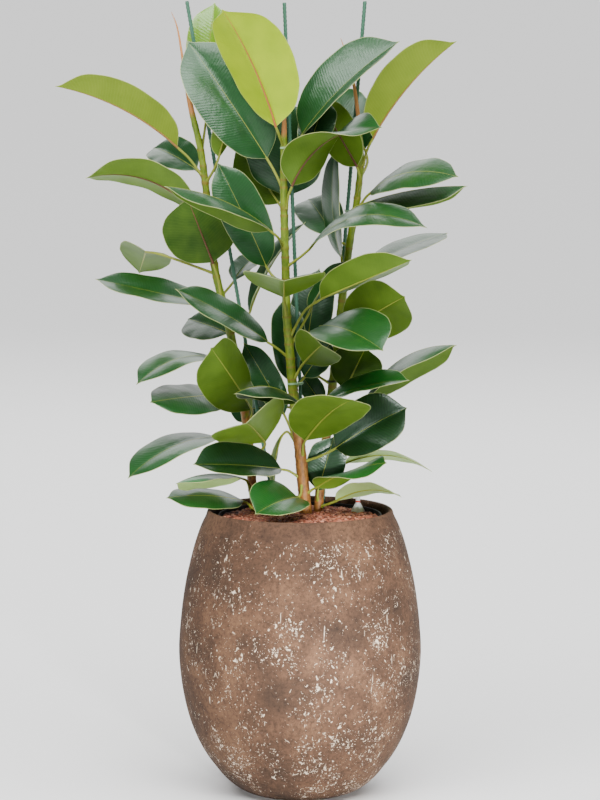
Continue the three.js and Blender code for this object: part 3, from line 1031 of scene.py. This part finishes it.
@dataclass
class Tie:
    """A thin coated wire wound round a stem and its stake, with its twisted ends standing out."""

    stem: Stem
    stake: Stake
    height: float
    wire: float = 0.9
    slack: float = 1.6
    turns: int = 2
    steps: int = 24
    rise: float = 2.2
    start: float = -1.9
    sag: float = 2.0
    end: tuple[float, float, float] = (9.0, -6.0, 2.0)
    end_share: float = 0.8

    def stem_at(self) -> tuple[float, float, float]:
        """Returns the stem's x, y and radius at the tie."""
        heights = [knot[2] for knot in self.stem.line]
        return tuple(
            float(np.interp(self.height, heights, [knot[i] for knot in self.stem.line]))
            for i in (0, 1, 3)
        )

    def build(self, coat: Material) -> None:
        """Models the turns of wire round both rods.

        Args:
            coat: the wire's material.
        """
        *spot, radius = self.stem_at()
        stem_spot, stake_spot = np.array(spot), self.stake.at(self.height)
        gap = np.linalg.norm(stake_spot - stem_spot)
        across = (stake_spot - stem_spot) / gap
        side = np.array([-across[1], across[0]])
        middle = (stem_spot + stake_spot) / 2
        long = (gap + radius + self.stake.radius) / 2 + self.slack
        short = max(radius, self.stake.radius) + self.slack
        shift = (self.stake.radius - radius) / 2
        points = []
        for step in range(self.turns * self.steps + 1):
            angle = math.tau * step / self.steps + self.start
            place = middle + across * (long * math.cos(angle) + shift)
            place = place + side * short * math.sin(angle)
            height = self.height + self.rise * step / self.steps - self.sag
            points.append((place[0], place[1], height, self.wire))
        last = points[-1]
        loose = tuple(last[i] + self.end[i] for i in range(3))
        points.append((*loose, self.wire * self.end_share))
        tie = drawn_tube(f"{self.stem.side.value}_tie_{int(self.height)}", points, 6)
        smooth(tie, 70)
        dress(tie, (f"stake_{self.stake.side.value}",), (coat,))


# ---------------------------------------------------------------- leaves
@dataclass
class LeafRows:
    """The rows of one leaf solid, read back from its mesh, in metres."""

    root: np.ndarray
    middle: np.ndarray
    base: np.ndarray
    rows: np.ndarray
    tip: np.ndarray
    shares: tuple[float, ...]

    OWN_NODE = (0.0, 0.06, 0.2, 0.38, 0.56, 0.73, 0.87, 0.955, 1.0)
    ON_STEM = (0.0, 0.1, 0.35, 0.6, 0.82, 0.95, 1.0)
    RING = 9  # points round the blade: five on the upper side and four with the rib below
    TIP_SPREAD = 0.0048  # the last ring lies further than this from a tip, in metres
    WELD = 1e-5

    @classmethod
    def read(cls, node: Object) -> list[LeafRows]:
        """Reads every leaf of a node: each is rings of nine points that end in a single point.

        Args:
            node: a leaf's own node, or a stem with its inner leaves.

        Returns:
            Petiole centres and, for each row, the five points of the upper side.
        """
        mesh = bmesh.new()
        mesh.from_mesh(node.data)
        bmesh.ops.remove_doubles(mesh, verts=mesh.verts, dist=cls.WELD)
        mesh.verts.ensure_lookup_table()
        near = {v.index: {e.other_vert(v).index for e in v.link_edges} for v in mesh.verts}
        place = np.array([v.co for v in mesh.verts])
        mesh.free()
        shares = cls.OWN_NODE if node.name.startswith("leaf_") else cls.ON_STEM
        found = []
        for tip, ring in near.items():
            rings = cls.walk(tip, near, len(shares) + 1)
            bladed = rings[: len(shares) - 2]
            closed = all(
                len(r) == cls.RING and all(len(near[i] & r) == 2 for i in r) for r in bladed
            )
            reach = np.linalg.norm(place[list(ring)] - place[tip], axis=1).mean() if ring else 0
            if closed and reach > cls.TIP_SPREAD:
                found.append(cls.from_rings(place[tip], rings, near, place, shares))
        return found

    @staticmethod
    def walk(tip: int, near: dict[int, set[int]], steps: int) -> list[set[int]]:
        """Walks the mesh away from one point, a ring of points at a time.

        Args:
            tip: number of the point to start from.
            near: neighbours of every point.
            steps: how many rings are wanted.

        Returns:
            The point numbers of each ring.
        """
        rings = [near[tip]]
        seen = {tip} | near[tip]
        while len(rings) < steps:
            ahead = set().union(*(near[i] for i in rings[-1])) - seen
            rings.append(ahead)
            seen |= ahead
        return rings

    @classmethod
    def from_rings(
        cls, tip: np.ndarray, rings: list[set[int]], near: dict[int, set[int]], place: np.ndarray,
        shares: tuple[float, ...],
    ) -> LeafRows:
        """Sorts the rings of one leaf into petiole and blade.

        Args:
            tip: place of the leaf's tip.
            rings: point numbers of each ring, from the tip back to the root.
            near: neighbours of every point.
            place: places of every point.
            shares: where the rows lie along the blade, ends included.

        Returns:
            The leaf's rows from base to tip.
        """
        count = len(shares) - 2
        rows = []
        for ring in reversed(rings[:count]):
            rows.append(cls.upper_side(ring, near, place, rows[-1] if rows else None))
        rows = np.array(rows)
        rows, ribs = rows[:, :5], rows[:, 5]
        mid = count // 2
        out = np.cross(rows[mid][4] - rows[mid][0], rows[mid + 1][2] - rows[mid - 1][2])
        if np.dot(out, rows[mid][2] - ribs[mid]) < 0:
            rows = rows[:, ::-1]
        base, middle, root = (place[list(ring)].mean(axis=0) for ring in rings[count : count + 3])
        return cls(root, middle, base, rows, tip, shares)

    @staticmethod
    def upper_side(
        ring: set[int], near: dict[int, set[int]], place: np.ndarray, last: np.ndarray | None
    ) -> np.ndarray:
        """Finds the five upper points of a ring, from edge to edge, and the rib under them.

        Args:
            ring: point numbers of the ring.
            near: neighbours of every point.
            place: places of every point.
            last: the row before, to keep left and right in step.

        Returns:
            Five places across the upper side and the place of the rib.
        """
        order = [next(iter(ring))]
        while len(order) < len(ring):
            order.append(next(i for i in near[order[-1]] & ring if i not in order))
        count = len(order)
        ordered = place[order]
        widths = [np.linalg.norm(ordered[i] - ordered[(i + 4) % count]) for i in range(count)]
        start = int(np.argmax(widths))
        picked = ordered[[(start + k) % count for k in range(5)]]
        rib = (ordered[(start + 6) % count] + ordered[(start + 7) % count]) / 2
        if last is not None:
            straight = np.linalg.norm(picked[0] - last[0]) + np.linalg.norm(picked[4] - last[4])
            crossed = np.linalg.norm(picked[0] - last[4]) + np.linalg.norm(picked[4] - last[0])
            if crossed < straight:
                picked = picked[::-1]
        return np.vstack([picked, rib])


@dataclass
class LeafPattern:
    """The flat pattern every leaf is cut from: a thin plate and a stalk that runs on as midrib."""

    columns: int = 16
    lengths: int = 44
    thickness: float = 0.9
    stalk_sides: int = 8
    stalk_rings: int = 40

    PETIOLE = 0.26  # part of the stalk bar that lies between stem and blade
    PARTS = ("upper", "under", "margin", "midrib", "stalk")

    @classmethod
    def add_blanks(cls, piece: Object) -> None:
        """Gives a piece the stand-in materials that keep the parts of a leaf apart.

        Args:
            piece: plate or bar.
        """
        for part in cls.PARTS:
            name = f"pattern_{part}"
            blank = bpy.data.materials.get(name) or bpy.data.materials.new(name)
            piece.data.materials.append(blank)

    def blade(self) -> Object:
        """Models the plate: x runs from -1 to 1 across, y from 0 to 1 along, z in mm.

        Returns:
            The plate, with its point value "bar" at 0.
        """
        deselect()
        bpy.ops.mesh.primitive_grid_add(
            x_subdivisions=self.columns, y_subdivisions=self.lengths, size=1
        )
        edit()
        bpy.ops.transform.resize(value=(2, 1, 1), center_override=(0, 0, 0))
        bpy.ops.transform.translate(value=(0, 0.5, 0))
        bpy.ops.object.mode_set(mode="OBJECT")
        plate = take("blade_pattern")
        self.add_blanks(plate)
        wall = plate.modifiers.new("wall", "SOLIDIFY")
        wall.thickness = self.thickness
        wall.offset = -1
        wall.material_offset = self.PARTS.index("under")
        wall.material_offset_rim = self.PARTS.index("margin")
        bpy.ops.object.modifier_apply(modifier=wall.name)
        point_value(plate, "bar", np.zeros(len(plate.data.vertices)))
        return plate

    def stalk(self) -> Object:
        """Models the stalk: a round bar of radius 1 from y = 0 to 1, ring by ring.

        Returns:
            The bar, with its point value "bar" at 1.
        """
        deselect()
        bpy.ops.mesh.primitive_circle_add(
            vertices=self.stalk_sides, radius=1, fill_type="NGON", rotation=(math.pi / 2, 0, 0)
        )
        settle(bpy.context.object)
        edit()
        for _ in range(self.stalk_rings):
            bpy.ops.mesh.extrude_region_move(
                TRANSFORM_OT_translate={"value": (0, 1 / self.stalk_rings, 0)}
            )
        face_outwards()
        bar = take("stalk_pattern")
        point_value(bar, "bar", np.ones(len(bar.data.vertices)))
        self.add_blanks(bar)
        for face in bar.data.polygons:
            part = "midrib" if face.center.y > self.PETIOLE else "stalk"
            face.material_index = self.PARTS.index(part)
        return bar

    def build(self) -> Object:
        """Joins plate and stalk.

        Returns:
            The pattern.
        """
        select(self.blade(), self.stalk())
        bpy.ops.object.join()
        return take("leaf_pattern")


@dataclass
class Blade:
    """A leaf's upper side: share runs from 0 to 1 along it, and across from -1 to 1."""

    shares: np.ndarray
    lines: np.ndarray

    FOOT = (-2.6, -1.3, 0, 1.3, 2.6)
    POINTED = ((0.87, 0.93), (0.91, 0.80), (0.94, 0.60), (0.955, 0.42), (0.975, 0.30), (0.99, 0.34))
    POINTED_FROM = 0.86
    STEP = 0.004
    SIDESTEP = 0.06

    @classmethod
    def over(cls, rows: LeafRows) -> Blade:
        """Lays the five upper lines of the blade, with a narrow drip tip.

        Args:
            rows: what was read from the solid.

        Returns:
            The surface.
        """
        right = unit(rows.rows[0][4] - rows.rows[0][0])
        start = rows.base + np.array(cls.FOOT)[:, None] * MM * right
        end = np.repeat(rows.tip[None, :], 5, axis=0)
        shares = np.array(rows.shares)
        lines = np.concatenate([start[None], rows.rows, end[None]])
        columns = lines.reshape(len(shares), -1).T
        kept = [(s, line) for s, line in zip(shares, lines) if s < cls.POINTED_FROM or s == 1.0]
        for share, scale in cls.POINTED:
            spot = np.array([np.interp(share, shares, column) for column in columns]).reshape(5, 3)
            kept.append((share, spot[2] + (spot - spot[2]) * scale))
        kept.sort(key=lambda pair: pair[0])
        return cls(np.array([pair[0] for pair in kept]), np.array([pair[1] for pair in kept]))

    def at(self, share: np.ndarray, across: np.ndarray) -> np.ndarray:
        """Reads places from the five lines, with a crease at the midrib.

        Args:
            share: shares of the length.
            across: places across, from -1 to 1.

        Returns:
            One place for each pair.
        """
        five = curve_through(self.shares, self.lines, share)
        t = np.abs(across)[:, None]
        left = across[:, None] < 0
        outer = np.where(left, five[:, 0], five[:, 4])
        quarter = np.where(left, five[:, 1], five[:, 3])
        return (
            five[:, 2] * (2 * t - 1) * (t - 1) + quarter * 4 * t * (1 - t) + outer * t * (2 * t - 1)
        )

    def directions(self, share: np.ndarray, across: np.ndarray) -> tuple[np.ndarray, np.ndarray]:
        """Finds how the blade runs.

        Args:
            share: shares of the length.
            across: places across, from -1 to 1.

        Returns:
            Unit directions along the blade, and out of its upper side.
        """
        low, high = np.clip(share - self.STEP, 0, 1), np.clip(share + self.STEP, 0, 1)
        along = unit(self.at(high, across) - self.at(low, across))
        inner = np.clip(share, 0.02, 0.95)
        left = self.at(inner, np.clip(across - self.SIDESTEP, -1, 1))
        right = self.at(inner, np.clip(across + self.SIDESTEP, -1, 1))
        return along, unit(np.cross(right - left, along))


@dataclass
class Leaf:
    """One leaf, draped from the flat pattern over the rows of its solid."""

    name: str
    node: str
    rows: LeafRows
    young: bool
    tone: float
    seed: int

    TONE_SPREAD = 0.08
    CROWDED_TO_TIP = 0.92
    CROWDED_TO_EDGE = 1.35
    RIB_AT = (0, 0.08, 0.5, 1)
    RIB_RADII = (2.7, 2.1, 1.35, 0.45)
    RIB_END = 0.985
    RIB_SINK = 0.78
    ARM_AT = (0, 0.1, 0.3, 1)
    ARM_RADII = (4.2, 3.6, 2.8, 2.7)
    ARM_KNOTS = (0, 0.12, 0.56, 1.0)
    ARM_SUNK = 4.5

    def plate(self, blade: Blade, rise: np.ndarray, at: tuple, dice: random.Random) -> np.ndarray:
        """Drapes the plate over the blade, with a gently waved edge.

        Args:
            blade: the upper side.
            rise: how far each point lies over the upper side, in metres.
            at: share and place across of each point.
            dice: the leaf's own seeded draw.

        Returns:
            The place of each point.
        """
        share, across = at
        waves = dice.uniform(2.2, 3.4)
        phase = dice.uniform(0, math.tau)
        sway = dice.uniform(0.6, 1.5) * MM
        _along, out = blade.directions(share, across)
        wave = sway * np.sin(share * math.tau * waves + phase + np.sign(across))
        lift = wave * np.abs(across) ** 3 * np.sin(np.pi * np.clip(share, 0, 1)) ** 0.7
        return blade.at(share, across) + out * (rise + lift)[:, None]

    def stalk(self, blade: Blade, flat: np.ndarray, plate: np.ndarray) -> np.ndarray:
        """Bends the bar from the stem to the blade's base and on along its midrib.

        Args:
            blade: the upper side.
            flat: the pattern's points.
            plate: which of them are on the plate.

        Returns:
            The place of each point of the bar.
        """
        rows, petiole = self.rows, LeafPattern.PETIOLE
        reach = np.where(plate, 0, flat[:, 1])
        share = np.clip((reach - petiole) / (1 - petiole), 0, 1) * self.RIB_END
        middle = np.zeros(len(flat))
        rib_along, rib_out = blade.directions(share, middle)
        rib_radius = np.interp(share, self.RIB_AT, self.RIB_RADII) * MM
        rib = blade.at(share, middle) - rib_out * (rib_radius * self.RIB_SINK)[:, None]
        base_out = rib_out[np.argmin(np.where(plate, 9, np.abs(reach - petiole)))]
        sunk = rows.root - unit(rows.middle - rows.root) * self.ARM_SUNK * MM
        base = rows.base - base_out * self.RIB_RADII[0] * MM * self.RIB_SINK
        knots = np.array([sunk, rows.root, rows.middle, base])
        steps = np.array(self.ARM_KNOTS)
        t = np.clip(reach / petiole, 0, 1)
        arm, ahead, back = (
            curve_through(steps, knots, np.clip(t + step, 0, 1)) for step in (0, 0.02, -0.02)
        )
        arm_radius = np.interp(t, self.ARM_AT, self.ARM_RADII) * MM
        on_arm = (reach < petiole)[:, None]
        centre = np.where(on_arm, arm, rib)
        heading = np.where(on_arm, unit(ahead - back), rib_along)
        thick = np.where(on_arm[:, 0], arm_radius, rib_radius)
        upward = base_out[None, :] - heading * (heading @ base_out)[:, None]
        upward = unit(np.where(on_arm, upward, rib_out))
        rightward = np.cross(heading, upward)
        return (
            centre
            + rightward * (flat[:, 0] * thick)[:, None]
            + upward * (flat[:, 2] * thick)[:, None]
        )

    def build(self, pattern: Object, skins: tuple[Material, ...]) -> None:
        """Drapes, colours and dresses the leaf.

        Args:
            pattern: the joined flat pattern.
            skins: upper, under, margin, midrib and stalk materials.
        """
        dice = random.Random(self.seed)
        blade = Blade.over(self.rows)
        leaf = pattern.copy()
        leaf.data = pattern.data.copy()
        leaf.name = leaf.data.name = f"{self.name}_leaf"
        bpy.context.scene.collection.objects.link(leaf)
        count = len(leaf.data.vertices)
        flat, bar = np.zeros(count * 3), np.zeros(count)
        leaf.data.vertices.foreach_get("co", flat)
        flat = flat.reshape(-1, 3)
        leaf.data.attributes["bar"].data.foreach_get("value", bar)
        plate = bar < 0.5
        share = np.where(plate, np.clip(flat[:, 1], 0, 1), 0) ** self.CROWDED_TO_TIP
        eased = np.sign(flat[:, 0]) * (1 - (1 - np.abs(flat[:, 0])) ** self.CROWDED_TO_EDGE)
        across = np.where(plate, eased, 0)
        draped = self.plate(blade, flat[:, 2] * MM, (share, across), dice)
        final = np.where(plate[:, None], draped, self.stalk(blade, flat, plate))
        leaf.data.vertices.foreach_set("co", final.ravel())
        leaf.data.update()
        rows = self.rows
        length = np.linalg.norm(rows.tip - rows.base)
        widest = np.linalg.norm(rows.rows[:, 4] - rows.rows[:, 0], axis=1).max() / 2
        widths = np.linalg.norm(blade.lines[:, 4] - blade.lines[:, 0], axis=1)
        half = np.interp(share, blade.shares, widths) / 2
        tone = self.tone + dice.uniform(-self.TONE_SPREAD, self.TONE_SPREAD)
        for name, values in (
            ("along", share * length / MM), ("across", np.abs(across) * widest / MM),
            ("inset", np.where(plate, (1 - np.abs(across)) * half / MM, 99)),
            ("tone", np.full(count, tone)),
        ):
            point_value(leaf, name, values)
        for number, skin in enumerate(skins):
            leaf.data.materials[number] = skin
        self.weld(leaf)
        dress(leaf, (self.node,))

    @staticmethod
    def weld(leaf: Object) -> None:
        """Merges the points that meet at the tip and faces everything outwards.

        Args:
            leaf: the draped leaf.
        """
        select(leaf)
        edit()
        bpy.ops.mesh.remove_doubles(threshold=2e-5)
        bpy.ops.mesh.dissolve_degenerate(threshold=1e-6)
        face_outwards()
        smooth(leaf, 55)


@dataclass
class Foliage:
    """All the leaves: four young ones at the top and the rest full grown."""

    young: tuple[str, ...] = ("left_01", "left_02", "centre_01", "right_01")
    newest: str = "centre_01"
    red_ribbed: tuple[str, ...] = ("left_03", "left_05", "centre_04", "right_02")
    usual_tone: float = 0.3
    # inner leaves between the stems get a darker tone: painted shade
    shaded_tone: float = 0.1
    # tones by leaf that paint light and shade: low for leaves lying in shadow, high for the bottom
    # undersides (right_22, right_21, left_21) as painted light
    tones: dict[str, float] = field(
        default_factory=lambda: {
            "left_05": -0.05, "left_17": 0.25, "right_14": 0.0, "right_02": 0.2, "left_03": 0.35,
            "centre_01": 0.4, "right_16": 0.6, "centre_21": 0.4, "right_12": 0.35,
            "centre_20": -0.2, "left_09": 0.1, "centre_19": -0.3, "centre_18": -0.2,
            "right_22": 1.5, "right_21": 1.3, "left_21": 1.4, "centre_17": 0.6, "left_18": 0.5,
        }
    )
    leaves: list[Leaf] = field(default_factory=list)

    def read(self) -> dict[Side, list[float]]:
        """Reads the leaves of every node.

        Returns:
            The heights in mm where the leaves of each stem root.
        """
        roots = {side: [] for side in Side}
        for node_name in sorted(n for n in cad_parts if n.startswith(("leaf_", "stem_"))):
            _part, side, *rest = node_name.split("_")
            for number, rows in enumerate(LeafRows.read(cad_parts[node_name])):
                name = f"{side}_{rest[0]}" if rest else f"{side}_inner_{number + 1:02d}"
                # inner leaves take the painted shade tone, listed leaves their tones of painted
                # light and shade
                tone = self.tones.get(name, self.usual_tone if rest else self.shaded_tone)
                young = name in self.young
                self.leaves.append(Leaf(name, node_name, rows, young, tone, len(self.leaves)))
                roots[Side(side)].append(rows.root[2] / MM)
        return roots

    def skins(self) -> dict[str, tuple[Material, ...]]:
        """Returns upper, under, margin, midrib and stalk materials for each kind of leaf."""
        sides = {
            name: LeafSkin(name, side, *colours, roughness, coat, vein_share=share).material()
            for name, side, colours, roughness, coat, share in (
                # colours are deep, bright, pale and vein; the pale one is painted light, reached
                # only by high tones
                ("waxy_leaf_upper", LeafSide.UPPER,
                 ("06260B", "155017", "2C6A3A", "2E6A2A"), 0.38, 0.5, 0.1),
                ("matte_leaf_under", LeafSide.UNDER,
                 ("243F06", "6C8C2A", "B0CE86", "748E36"), 0.5, 0.0, 0.05),
                ("young_leaf_under", LeafSide.UNDER,
                 ("546E10", "869A26", "A4B84A", "98AA48"), 0.5, 0.0, 0.1),
                ("young_leaf_upper", LeafSide.UPPER,
                 ("4A7A0A", "78A010", "98B83C", "8FAA30"), 0.3, 0.6, 0.1),
                ("newest_leaf_under", LeafSide.UNDER,
                 ("6A9000", "B2C800", "C8DA30", "A4BC10"), 0.5, 0.0, 0.05),
            )
        }
        plain = {
            name: PlainPlastic(name, colour).material()
            for name, colour in (
                ("leaf_margin_wax", "A8B070"), ("leaf_stalk_skin", "8A9230"),
                ("red_leaf_midrib", "5E3822"), ("tan_leaf_midrib", "8E6A34"),
                ("orange_leaf_midrib", "A8642C"),
            )
        }
        return {
            kind: (sides[upper], sides[under], plain["leaf_margin_wax"], plain[rib],
                   plain["leaf_stalk_skin"])
            for kind, upper, under, rib in (
                ("grown", "waxy_leaf_upper", "matte_leaf_under", "leaf_stalk_skin"),
                ("red", "waxy_leaf_upper", "matte_leaf_under", "red_leaf_midrib"),
                ("young", "young_leaf_upper", "young_leaf_under", "tan_leaf_midrib"),
                ("newest", "young_leaf_upper", "newest_leaf_under", "orange_leaf_midrib"),
            )
        }

    def build(self) -> None:
        """Cuts and drapes every leaf of the frame."""
        pattern = LeafPattern().build()
        skins = self.skins()
        for leaf in self.leaves:
            kind = "young" if leaf.young else "grown"
            kind = "red" if leaf.name in self.red_ribbed else kind
            leaf.build(pattern, skins["newest" if leaf.name == self.newest else kind])
        bpy.data.objects.remove(pattern)


# ---------------------------------------------------------------- the whole plant
STEMS = (
    Stem(
        Side.LEFT,
        [
            (-94, 80, 590, 10.5), (-103, 79, 660, 10.3), (-115, 78, 790, 10), (-143, 76, 952, 9.5),
            (-166, 74, 1048, 9), (-183, 72, 1130, 8.5), (-199, 68, 1283, 7.9),
            (-211, 66, 1372, 7.6), (-229, 64, 1450, 6.5), (-242, 62, 1516, 3.8),
            (-250, 60, 1576, 2.8), (-259, 58, 1628, 2), (-271, 57, 1660, 0.8),
        ],
        woody_to=800, sheath_from=1436, seed=5,
    ),
    Stem(
        Side.CENTRE,
        [
            (13, 60, 590, 13.2), (6, 57, 664, 13), (-2, 52, 751, 12.3), (-15, 45, 859, 11),
            (-21, 40, 934, 10), (-28, 34, 1020, 9.4), (-30, 28, 1095, 9), (-32, 22, 1181, 8.8),
            (-34, 16, 1266, 8.4), (-34, 10, 1360, 7.6), (-33, 8, 1430, 5), (-32, 7, 1462, 1.2),
        ],
        woody_to=810, sheath_from=1396, seed=8,
    ),
    Stem(
        Side.RIGHT,
        [
            (39, 95, 590, 10.3), (45, 93, 658, 10.2), (66, 88, 832, 9.8), (85, 82, 1005, 9.2),
            (100, 78, 1129, 8.6), (110, 74, 1198, 8.2), (121, 70, 1262, 7.8), (129, 66, 1345, 7),
            (126, 66, 1410, 5.2), (115, 68, 1500, 3.8), (99, 70, 1565, 2.6), (86, 71, 1604, 0.8),
        ],
        woody_to=760, sheath_from=1405, seed=13,
    ),
)
STAKES = (
    Stake(Side.LEFT, (-54, 105, 587), (-239, 90, 1680)),
    Stake(Side.CENTRE, (11, 96, 589), (-33, -9, 1687)),
    Stake(Side.RIGHT, (47, 122, 585), (137, 86, 1678)),
)


@dataclass(frozen=True)
class Lamp:
    """One studio lamp, aimed at a point."""

    name: str
    kind: str
    power: float
    place: tuple[float, float, float]
    aim: tuple[float, float, float]
    settings: dict[str, str | float]

    def build(self) -> None:
        """Sets the lamp up."""
        data = bpy.data.lights.new(self.name, self.kind)
        data.energy = self.power
        for name, value in self.settings.items():
            setattr(data, name, value)
        way = Vector(self.aim) - Vector(self.place)
        stand(data, self.place, way.to_track_quat("-Z", "Y").to_euler())


def soft_box(width: float, height: float) -> dict[str, str | float]:
    """Returns the settings of a rectangular lamp of that size in metres."""
    return {"shape": "RECTANGLE", "size": width, "size_y": height}


LEAVES_MID = (0.0, 0.0, 0.9)
LAMPS = (
    Lamp("front_box", "AREA", 400, (-0.3, -4.1, 4.9), LEAVES_MID, soft_box(5.6, 2.2)),
    Lamp("back_box", "AREA", 240, (0.3, 6.0, 4.8), LEAVES_MID, soft_box(8.0, 4.0)),
    Lamp("left_box", "AREA", 110, (-2.85, -2.4, 4.85), (0.1, 0.0, 1.5), soft_box(1.8, 1.8)),
    Lamp(
        "planter_snoot", "SPOT", 4800, (1.2, -5.1, 0.62), (0.01, 0.0, 0.30),
        {"spot_size": math.radians(7.8), "spot_blend": 0.5, "shadow_soft_size": 0.3},
    ),
)


def stand(data: bpy.types.ID, place: tuple[float, ...], turn: tuple[float, ...]) -> Object:
    """Stands a lamp or a camera in the scene.

    Args:
        data: the lamp's or camera's data.
        place: where it stands, in metres.
        turn: its turn round x, y and z.

    Returns:
        The object.
    """
    thing = bpy.data.objects.new(data.name, data)
    bpy.context.scene.collection.objects.link(thing)
    thing.location = place
    thing.rotation_euler = turn
    return thing


@dataclass
class Studio:
    """Pale floor, soft lights and the camera of the photograph's view."""

    camera_place: tuple[float, float, float] = (0.0, -9.0, 1.977)
    pitch: float = 7.1813
    lens: float = 192.79
    film: float = 36.0
    sight: float = 500.0
    floor_half: float = 90.0
    walls: float = 0.2
    ceiling: float = 3.2
    ceiling_from: float = 0.75  # share of the sky's height where it has its full strength
    wash: float = 4.0
    wash_spread: float = 60.0
    wash_turn: tuple[float, float, float] = (18.0, 12.0, 0.0)

    def floor(self) -> None:
        """Lays the pale floor."""
        deselect()
        bpy.ops.mesh.primitive_plane_add(size=2 * self.floor_half, location=(0, 0, 0))
        floor = settle(take("studio_floor"))
        paper = finished(
            new_material("studio_paper"),
            {"Base Color": srgb("F6F6F6"), "Roughness": 0.9, "Specular IOR Level": 0.1},
        )
        floor.data.materials.append(paper)

    def sky(self) -> None:
        """Gives the room dim walls and a bright ceiling."""
        world = bpy.data.worlds.new("studio_world")
        bpy.context.scene.world = world
        world.use_nodes = True
        tree = world.node_tree
        way = add_node(tree, "TexCoord", out="Generated")
        height = add_node(tree, "SeparateXYZ", {0: way}, "Z")
        strength = add_node(
            tree, "MapRange",
            {0: height, 1: 0.0, 2: self.ceiling_from, 3: self.walls, 4: self.ceiling},
        )
        plug(tree, tree.nodes["Background"], {"Strength": strength})

    def build(self) -> None:
        """Sets floor, sky, lights and camera."""
        self.floor()
        self.sky()
        for lamp in LAMPS:
            lamp.build()
        sun = bpy.data.lights.new("ceiling_wash", "SUN")
        sun.energy = self.wash
        sun.angle = math.radians(self.wash_spread)
        stand(sun, (0, 0, 0), tuple(math.radians(angle) for angle in self.wash_turn))
        data = bpy.data.cameras.new("photo_camera")
        data.lens = self.lens
        data.sensor_width = self.film
        data.clip_end = self.sight
        turn = (math.radians(90 - self.pitch), 0, 0)
        bpy.context.scene.camera = stand(data, self.camera_place, turn)


def main() -> None:
    """Builds the plant and its studio in order."""
    logging.basicConfig(level=logging.INFO, format="%(name)s: %(message)s")
    Studio().build()
    Planter().build()
    gauge = WaterGauge()
    clear = [(s.line[0][0], s.line[0][1], s.line[0][3] + GranuleBed.ROOM) for s in STEMS]
    clear += [(s.foot[0], s.foot[1], s.radius + GranuleBed.ROOM) for s in STAKES]
    GranuleBed(clear=(*clear, (gauge.x, gauge.y, gauge.around))).build()
    gauge.build()
    skin = StemSkin().material()
    foliage = Foliage()
    roots = foliage.read()
    for stem in STEMS:
        stem.build(skin, roots[stem.side])
    coat = PlainPlastic("plastic_coated_steel", "3F6B55").material()
    for stake in STAKES:
        stake.build(coat)
    wire = PlainPlastic("pale_green_wire", "9CC79A").material()
    dark_wire = PlainPlastic("black_wire", "151515").material()
    _left, centre, right = zip(STEMS, STAKES)
    ties = ((centre, 1376, wire), (right, 1237, wire), (centre, 872, wire), (right, 872, dark_wire))
    for (stem, stake), height, coating in ties:
        Tie(stem, stake, height).build(coating)
    foliage.build()


if __name__ == "__main__":
    main()
